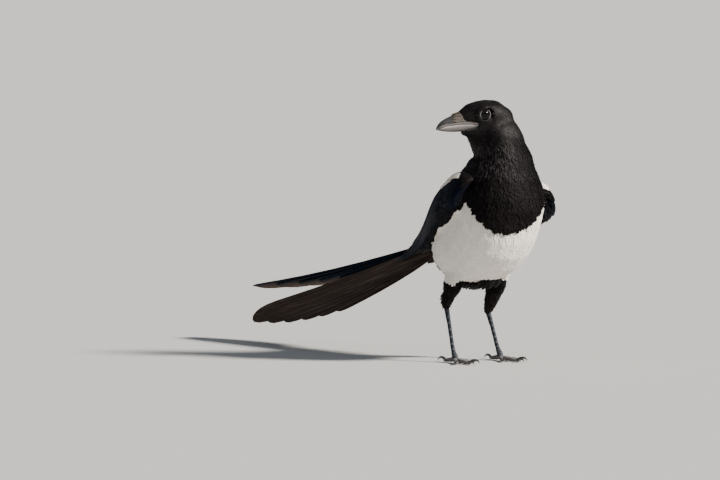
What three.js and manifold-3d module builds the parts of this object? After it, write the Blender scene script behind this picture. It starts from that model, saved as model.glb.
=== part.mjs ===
// A life-size Eurasian magpie that stands at rest, looking over its right shoulder.
// Millimetres, +Z up. The bird faces +X with its left side on +Y, and the floor is z = 0.
import * as THREE from 'three';
import { mergeVertices } from 'three/addons/utils/BufferGeometryUtils.js';
import Module from 'manifold-3d';

const wasm = await Module();
wasm.setup();

// Driving dimensions
const gap = 0.3; // clear space between neighbouring pieces
const stanceWidth = 47; // between the middles of the feet
const headCentre = [38, -18.7, 219]; // half way between the eyes
const headTurn = -97; // degrees from straight ahead, to the bird's right
const headNod = 5; // degrees, bill down
const eyeRadius = 5.6;
const eyeSpread = 12.2; // from the middle of the head to the middle of an eye
const billLength = 34.5; // from its roots under the feathers to its tip
const tailRoot = [-52, -2, 107];
const tailTurn = 11; // degrees that the tail swings to the bird's right
const featherWidth = 27;
const featherThickness = 1.2;
const originShift = [118.9, 5.36]; // brings the middle of the whole outline over the origin

const rad = THREE.MathUtils.degToRad;

const finishes = {
  blackPlumage: { color: 0x0b0a0d, roughness: 0.6, metalness: 0 },
  whitePlumage: { color: 0xd9d3cd, roughness: 0.85, metalness: 0 },
  flightFeather: { color: 0x0d1420, roughness: 0.4, metalness: 0 },
  horn: { color: 0x2a2827, roughness: 0.35, metalness: 0 },
  scales: { color: 0x1c1e22, roughness: 0.5, metalness: 0 },
  eye: { color: 0x0a0706, roughness: 0.08, metalness: 0 },
};

// A closed mesh from its corners and triangles, turned to face outwards.
function closedGeometry(corners, triangles) {
  const geometry = new THREE.BufferGeometry();
  geometry.setAttribute('position', new THREE.Float32BufferAttribute(corners.flat(), 3));
  let volume = 0;
  const [a, b, c] = [new THREE.Vector3(), new THREE.Vector3(), new THREE.Vector3()];
  for (const [i, j, k] of triangles) {
    a.fromArray(corners[i]);
    b.fromArray(corners[j]);
    c.fromArray(corners[k]);
    volume += a.dot(b.cross(c));
  }
  geometry.setIndex(triangles.flatMap(([i, j, k]) => (volume < 0 ? [i, k, j] : [i, j, k])));
  return geometry;
}

// A skin over rings of corners that share one count, closed at both ends by a middle point.
function ringSkin(rings) {
  const around = rings[0].length;
  const corners = rings.flat();
  const triangles = [];
  for (let r = 0; r + 1 < rings.length; r++) {
    for (let i = 0; i < around; i++) {
      const [p, q] = [r * around + i, r * around + ((i + 1) % around)];
      triangles.push([p, q, q + around], [p, q + around, p + around]);
    }
  }
  for (const [ring, turn] of [[0, 1], [rings.length - 1, 0]]) {
    const middle = [0, 1, 2].map((n) => rings[ring].reduce((sum, at) => sum + at[n], 0) / around);
    const hub = corners.push(middle) - 1;
    for (let i = 0; i < around; i++) {
      const [p, q] = [ring * around + i, ring * around + ((i + 1) % around)];
      triangles.push(turn ? [hub, q, p] : [hub, p, q]);
    }
  }
  return closedGeometry(corners, triangles);
}

// A body of oval sections along a smooth centre line. Each station has its place (at), half width
// (wide), half height (high) and lean, which drops the fullest part of the section below its middle.
function loft(stations, { rings, around, side = [0, 1, 0], fullness = 2.2, grow = 0 }) {
  const line = new THREE.CatmullRomCurve3(stations.map((s) => new THREE.Vector3(...s.at)));
  const sizes = new THREE.CatmullRomCurve3(
    stations.map((s) => new THREE.Vector3(s.wide, s.high, s.lean ?? 0)),
  );
  const across = new THREE.Vector3(...side);
  const sections = [];
  for (let r = 0; r <= rings; r++) {
    const t = r / rings;
    const middle = line.getPoint(t);
    const along = line.getTangent(t);
    const up = new THREE.Vector3().crossVectors(along, across).normalize();
    const out = new THREE.Vector3().crossVectors(up, along).normalize();
    const size = sizes.getPoint(t);
    const ring = [];
    for (let i = 0; i < around; i++) {
      const angle = (2 * Math.PI * i) / around;
      const [c, s] = [Math.cos(angle), Math.sin(angle)];
      const flat = Math.sign(c) * Math.abs(c) ** (2 / fullness);
      const tall = Math.sign(s) * Math.abs(s) ** (2 / fullness);
      const x = flat * (Math.max(size.x, 0.4) + grow) * (1 - size.z * tall);
      const y = tall * (Math.max(size.y, 0.4) + grow);
      ring.push(middle.clone().addScaledVector(out, x).addScaledVector(up, y).toArray());
    }
    sections.push(ring);
  }
  return ringSkin(sections);
}

// A solid from any closed geometry.
function solidOf(geometry) {
  const bare = geometry.clone();
  bare.deleteAttribute('normal');
  bare.deleteAttribute('uv');
  const merged = mergeVertices(bare, 1e-4);
  const mesh = new wasm.Mesh({
    numProp: 3,
    vertProperties: merged.getAttribute('position').array,
    triVerts: new Uint32Array(merged.index.array),
  });
  return new wasm.Manifold(mesh);
}

// The largest piece of a solid, without the slivers that a cut can leave.
function mainPiece(solid) {
  return solid.decompose().reduce((most, piece) => (piece.volume() > most.volume() ? piece : most));
}

function namedMesh(name, solid, finish) {
  const { numProp, numVert, vertProperties, triVerts } = mainPiece(solid).getMesh();
  const places = new Float32Array(numVert * 3);
  for (let v = 0; v < numVert; v++) {
    places.set(vertProperties.subarray(v * numProp, v * numProp + 3), v * 3);
  }
  const geometry = new THREE.BufferGeometry();
  geometry.setAttribute('position', new THREE.BufferAttribute(places, 3));
  geometry.setIndex(new THREE.BufferAttribute(triVerts, 1));
  const mesh = new THREE.Mesh(geometry, new THREE.MeshStandardMaterial(finishes[finish]));
  mesh.name = name;
  return mesh;
}

// The half space on the side of a plane that its normal points to.
function beyond(point, normal) {
  const reach = 900;
  const turn = new THREE.Quaternion().setFromUnitVectors(
    new THREE.Vector3(0, 0, 1),
    new THREE.Vector3(...normal).normalize(),
  );
  const box = new THREE.BoxGeometry(reach, reach, reach).translate(0, 0, reach / 2);
  return solidOf(box.applyQuaternion(turn).translate(...point));
}

// Both sides of a thin cut: [the side that the normal points to, the other side].
function cutApart(solid, point, normal) {
  const unit = new THREE.Vector3(...normal).normalize();
  const middle = new THREE.Vector3(...point);
  const near = middle.clone().addScaledVector(unit, gap / 2).toArray();
  const far = middle.clone().addScaledVector(unit, -gap / 2).toArray();
  const back = unit.clone().negate().toArray();
  return [solid.intersect(beyond(near, normal)), solid.intersect(beyond(far, back))];
}

// Trunk and neck, from the rump to where the head sits
const trunkStations = [
  { at: [-66, -2, 97], wide: 8, high: 5 },
  { at: [-55, -1, 98], wide: 15, high: 12 },
  { at: [-39, 0, 99], wide: 25, high: 23 },
  { at: [-20, 0, 101], wide: 33, high: 34, lean: 0.05 },
  { at: [0, -1, 108], wide: 38, high: 43, lean: 0.06 },
  { at: [17, 0, 121], wide: 41, high: 46, lean: 0.04 },
  { at: [29, 1, 138], wide: 42, high: 42 },
  { at: [35, -0.2, 156], wide: 39.2, high: 36.4 },
  { at: [38.2, -0.1, 171], wide: 31.2, high: 30.2 },
  { at: [39.6, -0.3, 184], wide: 24.7, high: 25.5 },
  { at: [37, -5.5, 194], wide: 22.8, high: 23.5 },
  { at: [35.4, -8.6, 204], wide: 20.9, high: 21.2 },
  { at: [34, -9.5, 213], wide: 12, high: 13 },
];
function bodyLoft(grow = 0) {
  return solidOf(loft(trunkStations, { rings: 26, around: 24, grow }));
}

// The head's own frame: its +X is the way the bill points and its origin lies between the eyes.
const headFrame = new THREE.Matrix4()
  .makeTranslation(...headCentre)
  .multiply(new THREE.Matrix4().makeRotationZ(rad(headTurn)))
  .multiply(new THREE.Matrix4().makeRotationY(rad(headNod)));

const headStations = [
  { at: [-25, 0, -9.8], wide: 5, high: 6 },
  { at: [-22, 0, -8.5], wide: 8.5, high: 9.8 },
  { at: [-14, 0, -4.8], wide: 12.8, high: 13 },
  { at: [-4, 0, -1.8], wide: 15.2, high: 13.4 },
  { at: [6, 0, -3.1], wide: 13.8, high: 14.5 },
  { at: [14, 0, -5.3], wide: 10.8, high: 14.7 },
  { at: [20, 0, -5.9], wide: 8.2, high: 12.3 },
  { at: [24.5, 0, -6.5], wide: 6, high: 9.5 },
  { at: [27.5, 0, -7], wide: 3.8, high: 7.1 },
];
function headLoft(grow = 0) {
  const shape = loft(headStations, { rings: 15, around: 18, fullness: 2.15, grow });
  return solidOf(shape.applyMatrix4(headFrame));
}

function eyeSolid(side, grow = 0) {
  const ball = new THREE.SphereGeometry(eyeRadius + grow, 12, 8);
  return solidOf(ball.translate(3.5, side * eyeSpread, 0.5).applyMatrix4(headFrame));
}

// Bill halves in the head's frame. Their ridges bend down towards the tip.
const billRoot = 12;
const billTip = billRoot + billLength;
function billHalf(stations, grow = 0) {
  const shape = loft(stations, { rings: 10, around: 12, fullness: 2.0, grow });
  return solidOf(shape.applyMatrix4(headFrame));
}
const upperBill = [
  { at: [billRoot, 0, -1.2], wide: 6.2, high: 5.4 },
  { at: [billRoot + 9, 0, -1.2], wide: 5.9, high: 4.9 },
  { at: [billRoot + 18, 0, -1.8], wide: 4.9, high: 3.9 },
  { at: [billRoot + 25, 0, -3.0], wide: 3.7, high: 2.9 },
  { at: [billRoot + 30.5, 0, -4.7], wide: 2.3, high: 1.9 },
  { at: [billTip, 0, -6.8], wide: 0.6, high: 0.7 },
];
const lowerBill = [
  { at: [billRoot, 0, -8.4], wide: 5.6, high: 4.6 },
  { at: [billRoot + 9, 0, -7.9], wide: 5.1, high: 4.5 },
  { at: [billRoot + 17, 0, -7.4], wide: 4.2, high: 3.9 },
  { at: [billRoot + 24, 0, -7.2], wide: 3.1, high: 2.9 },
  { at: [billRoot + 29, 0, -7.2], wide: 2.0, high: 1.7 },
  { at: [billTip - 1.5, 0, -7.7], wide: 0.6, high: 0.6 },
];

// Folded wings. The right one is tucked in higher and further back, the left one hangs lower.
const wings = {
  right: { side: -1, forward: -10.5, out: -1.5, rise: 3.5, hug: 5 },
  left: { side: 1, forward: -1, out: 1, rise: -9, hug: 1 },
};
function wingStations({ side, forward, out, rise, hug }) {
  const stations = [
    { at: [49, 36.5, 144], wide: 8, high: 10 },
    { at: [44, 38, 145], wide: 11.5, high: 15.5 },
    { at: [32, 39, 144.5], wide: 12.3, high: 18.5 },
    { at: [16, 38, 139.5], wide: 12.3, high: 20 },
    { at: [-3, 36, 130], wide: 12, high: 20 },
    { at: [-23, 32, 118], wide: 10, high: 17.5 },
    { at: [-43, 27, 107], wide: 7.5, high: 14 },
    { at: [-65, 22, 97], wide: 5, high: 10 },
    { at: [-87, 19, 87.5], wide: 3, high: 6.5 },
    { at: [-106, 17, 79.5], wide: 1.2, high: 3 },
  ];
  return stations.map(({ at: [x, y, z], ...size }, n) => {
    const share = 1 - n / (stations.length - 1); // the tips lie alike on both sides
    const away = y + share * out - hug * Math.sin(share * Math.PI);
    return { ...size, at: [x + share ** 2 * forward, side * away, z + share * rise] };
  });
}
const wingLean = 28; // degrees that a folded wing leans in over the back
function wingSolid(wing) {
  const outward = [0, wing.side * Math.cos(rad(wingLean)), Math.sin(rad(wingLean))];
  return solidOf(loft(wingStations(wing), { rings: 15, around: 14, fullness: 2.6, side: outward }));
}

// Tail: one slab for each feather, as long as its half's middle feather times its gradation. The
// slab lies along -X from the tail root, then it is spread by an angle in the fan's own plane, and
// the fan is rolled, drooped and turned as a whole.
function featherSlab(length, width, spread, layer) {
  const half = width / 2;
  const shape = new THREE.Shape();
  shape.moveTo(0, -half * 0.35);
  shape.quadraticCurveTo(-length * 0.3, -half * 0.9, -length * 0.6, -half);
  shape.lineTo(-length + half * 1.2, -half);
  shape.quadraticCurveTo(-length, -half, -length, 0);
  shape.quadraticCurveTo(-length, half, -length + half * 1.6, half * 0.95);
  shape.quadraticCurveTo(-length * 0.3, half * 0.9, 0, half * 0.35);
  shape.closePath();
  const slab = new THREE.ExtrudeGeometry(shape, {
    depth: featherThickness,
    bevelEnabled: false,
    curveSegments: 2,
  });
  slab.translate(0, 0, -layer * 0.9);
  slab.rotateZ(rad(spread));
  return slab;
}
const gradation = [1, 0.905, 0.81, 0.715, 0.62, 0.53]; // feather lengths, middle to outermost
const tailHalves = {
  right: { side: -1, length: 243, droop: 16.7, roll: 46, spreadStep: 1.8, firstSpread: 1.5 },
  left: { side: 1, length: 264, droop: 12.4, roll: 11, spreadStep: 1.5, firstSpread: 1.5 },
};
function tailHalf({ side, length, droop, roll, spreadStep, firstSpread }) {
  const fanFrame = new THREE.Matrix4()
    .makeTranslation(...tailRoot)
    .multiply(new THREE.Matrix4().makeRotationZ(rad(tailTurn)))
    .multiply(new THREE.Matrix4().makeRotationY(rad(-droop)))
    .multiply(new THREE.Matrix4().makeRotationX(rad(-side * roll)));
  return gradation
    .map((share, n) => {
      const spread = -side * (firstSpread + n * spreadStep);
      const slab = featherSlab(length * share, featherWidth, spread, n);
      return solidOf(slab.translate(0, side * featherWidth * 0.42, 0).applyMatrix4(fanFrame));
    })
    .reduce((all, next) => all.add(next));
}

// Legs
const legs = {
  right: { side: -1, heel: [-14, 49] },
  left: { side: 1, heel: [-19, 42] },
};
function footPlace(side) {
  return [0, (side * stanceWidth) / 2, 0];
}
function thighSolid({ side, heel }) {
  const y = (side * stanceWidth) / 2;
  const stations = [
    { at: [9, y * 0.88, 94], wide: 9, high: 17 },
    { at: [2, y * 0.93, 81], wide: 9, high: 15 },
    { at: [-4, y * 0.98, 69], wide: 8, high: 11.5 },
    { at: [heel[0] + 5, y, heel[1] + 10], wide: 5.5, high: 7 },
    { at: [heel[0] + 0.5, y, heel[1] - 1], wide: 2.6, high: 3 },
  ];
  return solidOf(loft(stations, { rings: 9, around: 12 }));
}
function tarsusSolid({ side, heel }, grow = 0) {
  const y = (side * stanceWidth) / 2;
  const stations = [
    { at: [heel[0] - 0.5, y, heel[1] + 6], wide: 2, high: 2.2 },
    { at: [heel[0] + 0.5, y, heel[1]], wide: 2.2, high: 2.6 },
    { at: [heel[0] * 0.6, y, heel[1] * 0.62 + 2], wide: 1.7, high: 1.9 },
    { at: [heel[0] * 0.2, y, 12], wide: 1.8, high: 2.0 },
    { at: [0.5, y, 5.5], wide: 2.8, high: 3 },
  ];
  return solidOf(loft(stations, { rings: 8, around: 8, grow }));
}

// Toes lie on the floor. Each has its length, its direction in degrees from straight ahead for the
// left foot, and the length of its claw.
const toes = {
  middle: { length: 27, points: 4, claw: 9.5, thick: 2.1 },
  inner: { length: 19, points: -24, claw: 8.5, thick: 1.9 },
  outer: { length: 20.5, points: 30, claw: 8, thick: 1.9 },
  hind: { length: 15.5, points: 178, claw: 12, thick: 2.1 },
};
const toeLift = 1.6; // middle of a toe above the floor: it is a little flat underneath
function toePoint(side, { points }, reach, height) {
  const [x, y] = footPlace(side);
  const way = rad(side * points);
  return [x + reach * Math.cos(way), y + reach * Math.sin(way), height];
}
function toeSolid(side, toe) {
  const way = rad(side * toe.points);
  const across = [-Math.sin(way), Math.cos(way), 0];
  const knuckles = [0.05, 0.3, 0.42, 0.62, 0.75, 1];
  const stations = knuckles.map((share, n) => ({
    at: toePoint(side, toe, toe.length * share, toeLift + (1 - share) * 1.6),
    wide: toe.thick * (1.08 - 0.3 * share) * (n % 2 ? 1 : 0.86),
    high: toe.thick * (1.05 - 0.28 * share) * (n % 2 ? 1 : 0.9),
  }));
  return solidOf(loft(stations, { rings: 6, around: 6, side: across }));
}
function clawSolid(side, toe, grow = 0) {
  const way = rad(side * toe.points);
  const across = [-Math.sin(way), Math.cos(way), 0];
  const steps = 6;
  const stations = [];
  for (let n = 0; n <= steps; n++) {
    const share = n / steps;
    const reach = toe.length - 1.5 + toe.claw * Math.sin(share * 1.35);
    const height = 2.4 + toe.claw * (0.16 * Math.sin(share * Math.PI) - 0.2 * share * share);
    stations.push({
      at: toePoint(side, toe, reach, Math.max(height, 0.5)),
      wide: 1.15 * (1 - share) + 0.2,
      high: 1.5 * (1 - share) + 0.2,
    });
  }
  return solidOf(loft(stations, { rings: 5, around: 6, side: across, grow }));
}
function footSolid(side) {
  const [x, y] = footPlace(side);
  const ball = new THREE.SphereGeometry(3.6, 8, 6).scale(1.15, 1, 0.8).translate(x, y, 2.2);
  return Object.values(toes)
    .map((toe) => toeSolid(side, toe))
    .reduce((all, next) => all.add(next), solidOf(ball))
    .intersect(beyond([0, 0, 0], [0, 0, 1]));
}

const magpie = new THREE.Group();

// Head, neck, breast and trunk come from one body with three thin cuts.
const eyes = { right: -1, left: 1 };
const bigHead = headLoft(gap);
const bigBody = bodyLoft(gap);
const wholeBody = bodyLoft().add(headLoft());
const headCut = { point: [38, -6, 200], normal: [0, -0.3, 0.95] };
const neckCut = { point: [38, 0, 166], normal: [0.05, 0, 1] };
const bibCut = { point: [60, 0, 117], normal: [0.3, 0, 0.95] }; // black breast above, white below
const [headPart, belowHead] = cutApart(wholeBody, headCut.point, headCut.normal);
const [neckPart, trunkPart] = cutApart(belowHead, neckCut.point, neckCut.normal);
const headWithSockets = Object.values(eyes).reduce(
  (head, side) => head.subtract(eyeSolid(side, gap)),
  headPart,
);
magpie.add(namedMesh('head', headWithSockets, 'blackPlumage'));
magpie.add(namedMesh('neck', neckPart, 'blackPlumage'));
const [breastPart, bellyPart] = cutApart(trunkPart, bibCut.point, bibCut.normal);
magpie.add(namedMesh('breast', breastPart, 'blackPlumage'));
magpie.add(namedMesh('trunk', bellyPart, 'whitePlumage'));

const upper = billHalf(upperBill);
magpie.add(namedMesh('bill_upper', upper.subtract(bigHead), 'horn'));
magpie.add(
  namedMesh('bill_lower', billHalf(lowerBill).subtract(billHalf(upperBill, gap)).subtract(bigHead), 'horn'),
);
for (const [name, side] of Object.entries(eyes)) {
  magpie.add(namedMesh('eye_' + name, eyeSolid(side), 'eye'));
}
for (const [name, wing] of Object.entries(wings)) {
  magpie.add(namedMesh('wing_' + name, wingSolid(wing).subtract(bigBody), 'flightFeather'));
}

// The tail halves part along a steep plane through the tail root, and make room for the wing tips.
const tailWay = [Math.sin(rad(tailTurn)), -Math.cos(rad(tailTurn)), 0];
for (const [name, half] of Object.entries(tailHalves)) {
  const [rightOf, leftOf] = cutApart(tailHalf(half), tailRoot, tailWay);
  const ownSide = half.side < 0 ? rightOf : leftOf;
  const clear = ownSide.subtract(bigBody).subtract(wingSolid(wings[name]));
  magpie.add(namedMesh('tail_' + name, clear, 'flightFeather'));
}

for (const [name, leg] of Object.entries(legs)) {
  const thigh = thighSolid(leg).subtract(bigBody);
  const foot = footSolid(leg.side);
  const shaft = tarsusSolid(leg).subtract(thighSolid(leg)).subtract(beyond([0, 0, 5.2], [0, 0, -1]));
  const footBelow = foot.subtract(beyond([0, 0, 5.2 - gap], [0, 0, 1]));
  magpie.add(namedMesh('thigh_' + name, thigh.subtract(tarsusSolid(leg, gap)), 'blackPlumage'));
  magpie.add(namedMesh('tarsus_' + name, shaft, 'scales'));
  let toesOnly = footBelow;
  for (const [toeName, toe] of Object.entries(toes)) {
    const claw = clawSolid(leg.side, toe).subtract(beyond([0, 0, 0.3], [0, 0, -1]));
    toesOnly = toesOnly.subtract(clawSolid(leg.side, toe, gap));
    magpie.add(namedMesh('claw_' + name + '_' + toeName, claw, 'horn'));
  }
  magpie.add(namedMesh('foot_' + name, toesOnly, 'scales'));
}

magpie.position.set(originShift[0], originShift[1], 0);

export default magpie;
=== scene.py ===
import bmesh
import bpy
import numpy as np
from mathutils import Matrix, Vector
from mathutils.bvhtree import BVHTree
from mathutils.kdtree import KDTree


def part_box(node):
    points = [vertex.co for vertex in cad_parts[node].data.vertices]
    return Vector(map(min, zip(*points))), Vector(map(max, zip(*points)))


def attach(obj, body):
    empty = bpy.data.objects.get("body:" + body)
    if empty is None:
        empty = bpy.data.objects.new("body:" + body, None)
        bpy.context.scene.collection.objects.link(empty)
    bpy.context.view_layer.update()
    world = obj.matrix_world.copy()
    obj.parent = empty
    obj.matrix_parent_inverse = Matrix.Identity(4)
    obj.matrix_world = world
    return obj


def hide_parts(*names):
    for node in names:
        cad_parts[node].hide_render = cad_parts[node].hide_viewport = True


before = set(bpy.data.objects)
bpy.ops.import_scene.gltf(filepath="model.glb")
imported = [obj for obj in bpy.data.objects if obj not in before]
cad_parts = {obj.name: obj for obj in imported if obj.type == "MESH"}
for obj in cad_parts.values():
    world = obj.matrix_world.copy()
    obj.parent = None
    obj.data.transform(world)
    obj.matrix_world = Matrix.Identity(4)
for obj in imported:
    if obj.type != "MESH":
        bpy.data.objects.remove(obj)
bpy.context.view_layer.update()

# Places below are in millimetres from the point on the floor midway between the feet:
# +X the way the body faces, +Y its left side, +Z up. The frame itself is in metres.
mm = 0.001
sides = {"right": -1, "left": 1}
rng = np.random.default_rng(7)


def unit(ways):
    ways = np.asarray(ways, float)
    return ways / np.maximum(np.linalg.norm(ways, axis=-1, keepdims=True), 1e-12)


def ramp(value, low, high):
    share = np.clip((value - low) / (high - low), 0, 1)
    return share * share * (3 - 2 * share)


def nodePlaces(name):
    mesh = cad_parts[name].data
    places = np.zeros(len(mesh.vertices) * 3)
    mesh.vertices.foreach_get("co", places)
    return places.reshape(-1, 3) / mm


ankleHeight = 6
feetAhead = (1.05, 0, 0)  # the feet's middle from the middle of both ankles
ankles = np.concatenate([nodePlaces(f"tarsus_{side}") for side in sides])
ankles = ankles[ankles[:, 2] < ankleHeight]
standing = np.array([*((ankles.min(0) + ankles.max(0)) / 2)[:2], 0]) + feetAhead


def toFrame(places):
    return (np.asarray(places) + standing) * mm


def toBird(places):
    return np.asarray(places) / mm - standing


# The head's own frame: forward along the bill, left, and up, from the point between the eyes
headNod = np.radians(5)
eyeInHead = np.array([3.5, 12.2, 0.5])
eyeMiddles = {s: toBird(np.add(*map(np.array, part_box(f"eye_{s}"))) / 2) for s in sides}
headLeft = unit(eyeMiddles["left"] - eyeMiddles["right"])
headLevel = np.array([headLeft[1], -headLeft[0], 0])
headForward = headLevel * np.cos(headNod) - np.array([0, 0, np.sin(headNod)])
headUp = np.cross(headForward, headLeft)
headAxes = np.array([headForward, headLeft, headUp])
headOrigin = (eyeMiddles["left"] + eyeMiddles["right"]) / 2 - (eyeInHead * (1, 0, 1)) @ headAxes


def toHead(places):
    return (np.asarray(places) - headOrigin) @ headAxes.T


def fromHead(places):
    return np.asarray(places) @ headAxes + headOrigin


# Meshes
def meshFrom(name, places, faceSets):
    # places in mm; each face set is an array of faces that share one corner count
    faceSets = [np.asarray(f, np.int32) for f in faceSets if len(f)]
    mesh = bpy.data.meshes.new(name)
    mesh.vertices.add(len(places))
    mesh.vertices.foreach_set("co", toFrame(places).astype(np.float32).ravel())
    corners = np.concatenate([f.ravel() for f in faceSets])
    counts = np.concatenate([np.full(len(f), f.shape[1], np.int32) for f in faceSets])
    mesh.loops.add(len(corners))
    mesh.loops.foreach_set("vertex_index", corners)
    mesh.polygons.add(len(counts))
    starts = np.concatenate([[0], np.cumsum(counts)[:-1]]).astype(np.int32)
    mesh.polygons.foreach_set("loop_start", starts)
    mesh.update(calc_edges=True)
    mesh.validate()
    mesh.shade_smooth()
    return mesh


def addMap(mesh, name, vertexValues):
    corners = np.zeros(len(mesh.loops), np.int32)
    mesh.loops.foreach_get("vertex_index", corners)
    layer = mesh.uv_layers.new(name=name)
    layer.data.foreach_set("uv", vertexValues[corners].astype(np.float32).ravel())


def addTone(mesh, vertexColours):
    layer = mesh.attributes.new("tone", "FLOAT_COLOR", "POINT")
    rows = np.ones((len(vertexColours), 4), np.float32)
    rows[:, : vertexColours.shape[1]] = vertexColours
    layer.data.foreach_set("color", rows.ravel())


def markSharp(mesh, isEdge):
    # edges between two rim corners of a vane stay sharp, so its top shades as one soft face
    pairs = np.zeros(len(mesh.edges) * 2, np.int32)
    mesh.edges.foreach_get("vertices", pairs)
    sharp = isEdge[pairs.reshape(-1, 2)].all(1)
    layer = mesh.attributes.new("sharp_edge", "BOOLEAN", "EDGE")
    layer.data.foreach_set("value", sharp)


def addPiece(name, mesh, material, slotName, *nodes):
    piece = bpy.data.objects.new(name, mesh)
    bpy.context.scene.collection.objects.link(piece)
    mesh.materials.clear()
    mesh.materials.append(material)
    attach(piece, "root")
    if nodes:
        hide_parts(*nodes)
    return piece


def ringTurns(count):
    return np.linspace(0, 2 * np.pi, count, endpoint=False)


def ringFaces(rings, around, closed=False):
    firsts = np.arange(rings if closed else rings - 1)
    ring, step = np.meshgrid(firsts, np.arange(around), indexing="ij")
    ahead, after = (step + 1) % around, (ring + 1) % rings
    quads = np.stack([ring * around + step, ring * around + ahead,
                      after * around + ahead, after * around + step], -1)
    return quads.reshape(-1, 4)


def manyOf(faces, count, each):
    # the same faces on each of several solids that have the same count of corners
    return (faces[None] + (np.arange(count) * each)[:, None, None]).reshape(-1, faces.shape[1])


def turnedOut(mesh):
    work = bmesh.new()
    work.from_mesh(mesh)
    bmesh.ops.recalc_face_normals(work, faces=work.faces)
    work.to_mesh(mesh)
    work.free()
    return mesh


# Camera: a long lens level with the bird's breast, in front of it and to its right
cameraSetting = {
    "azimuth": 57, "elevation": 4, "distance": 8700, "lens": 500,
    "aimAcross": -102, "aimUp": 106,  # the frame's middle from the standing point, seen by the camera
}


def addCamera():
    turn, rise = np.radians(cameraSetting["azimuth"]), np.radians(cameraSetting["elevation"])
    back = np.array([np.sin(turn) * np.cos(rise), -np.cos(turn) * np.cos(rise), np.sin(rise)])
    across = np.array([np.cos(turn), np.sin(turn), 0])
    upward = np.cross(back, across)
    aim = across * cameraSetting["aimAcross"] + upward * cameraSetting["aimUp"]
    data = bpy.data.cameras.new("camera")
    data.lens = cameraSetting["lens"]
    data.clip_start, data.clip_end = 0.1, 100
    camera = bpy.data.objects.new("camera", data)
    camera.location = toFrame(aim + back * cameraSetting["distance"])
    camera.rotation_euler = Vector(-back).to_track_quat("-Z", "Y").to_euler()
    bpy.context.scene.collection.objects.link(camera)
    bpy.context.scene.camera = camera
    return across, back


cameraAcross, cameraBack = addCamera()


# Shaders
def groupNode(tree, group, **values):
    node = tree.nodes.new("ShaderNodeGroup")
    node.node_tree = group
    for key, value in values.items():
        node.inputs[key].default_value = value
    return node


def newGroup(name, inputs, outputs):
    group = bpy.data.node_groups.new(name, "ShaderNodeTree")
    for socket, kind, value in inputs:
        made = group.interface.new_socket(socket, in_out="INPUT", socket_type=kind)
        if value is not None:
            made.default_value = value
    for socket, kind in outputs:
        group.interface.new_socket(socket, in_out="OUTPUT", socket_type=kind)
    return group, group.nodes.new("NodeGroupInput"), group.nodes.new("NodeGroupOutput")


def giveTo(tree, socket, value):
    # a value is linked where it comes from another node, and else set
    if isinstance(value, bpy.types.NodeSocket):
        tree.links.new(value, socket)
    elif value is not None:
        socket.default_value = value


def mathNode(tree, operation, first, second=None):
    node = tree.nodes.new("ShaderNodeMath")
    node.operation = operation
    giveTo(tree, node.inputs[0], first)
    giveTo(tree, node.inputs[1], second)
    return node.outputs[0]


def mixColour(tree, share, first, second, blend="MIX"):
    node = tree.nodes.new("ShaderNodeMix")
    node.data_type = "RGBA"
    node.blend_type = blend
    giveTo(tree, node.inputs[0], share)
    giveTo(tree, node.inputs[6], first)
    giveTo(tree, node.inputs[7], second)
    return node.outputs[2]


def fitRange(tree, value, low, high, newLow=0.0, newHigh=1.0):
    node = tree.nodes.new("ShaderNodeMapRange")
    tree.links.new(value, node.inputs[0])
    for socket, number in zip(node.inputs[1:5], (low, high, newLow, newHigh)):
        socket.default_value = number
    return node.outputs[0]


def noise(tree, vector, scale, detail=2.0, roughness=0.5):
    node = tree.nodes.new("ShaderNodeTexNoise")
    node.inputs["Scale"].default_value = scale
    node.inputs["Detail"].default_value = detail
    node.inputs["Roughness"].default_value = roughness
    tree.links.new(vector, node.inputs["Vector"])
    return node.outputs[0]


def stretched(tree, vector, scale):
    node = tree.nodes.new("ShaderNodeMapping")
    node.inputs["Scale"].default_value = scale
    tree.links.new(vector, node.inputs["Vector"])
    return node.outputs[0]


def objectPlace(tree):
    return tree.nodes.new("ShaderNodeTexCoord").outputs["Object"]


def mapPlace(tree, name):
    node = tree.nodes.new("ShaderNodeUVMap")
    node.uv_map = name
    return node.outputs[0]


def makeBarbs():
    # fine barbs that run out and back from a vane's shaft; the map holds mm across and mm along
    group, given, made = newGroup(
        "feather barbs",
        [("Vane", "NodeSocketVector", None), ("Per mm", "NodeSocketFloat", 3.0),
         ("Slant", "NodeSocketFloat", 0.8)],
        [("Barb", "NodeSocketFloat"), ("Split", "NodeSocketFloat")])
    split = group.nodes.new("ShaderNodeSeparateXYZ")
    group.links.new(given.outputs["Vane"], split.inputs[0])
    away = mathNode(group, "ABSOLUTE", split.outputs[0])
    lean = mathNode(group, "MULTIPLY", away, given.outputs["Slant"])
    along = mathNode(group, "SUBTRACT", split.outputs[1], lean)
    rate = mathNode(group, "MULTIPLY", along, given.outputs["Per mm"])
    joined = group.nodes.new("ShaderNodeCombineXYZ")
    group.links.new(mathNode(group, "MULTIPLY", away, 0.25), joined.inputs[0])
    group.links.new(rate, joined.inputs[1])
    group.links.new(split.outputs[2], joined.inputs[2])
    fine = noise(group, joined.outputs[0], 1.6, 2.0)
    group.links.new(fitRange(group, fine, 0.3, 0.7), made.inputs["Barb"])
    coarse = noise(group, joined.outputs[0], 0.28, 1.0)
    group.links.new(fitRange(group, coarse, 0.35, 0.65), made.inputs["Split"])
    return group


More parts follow.
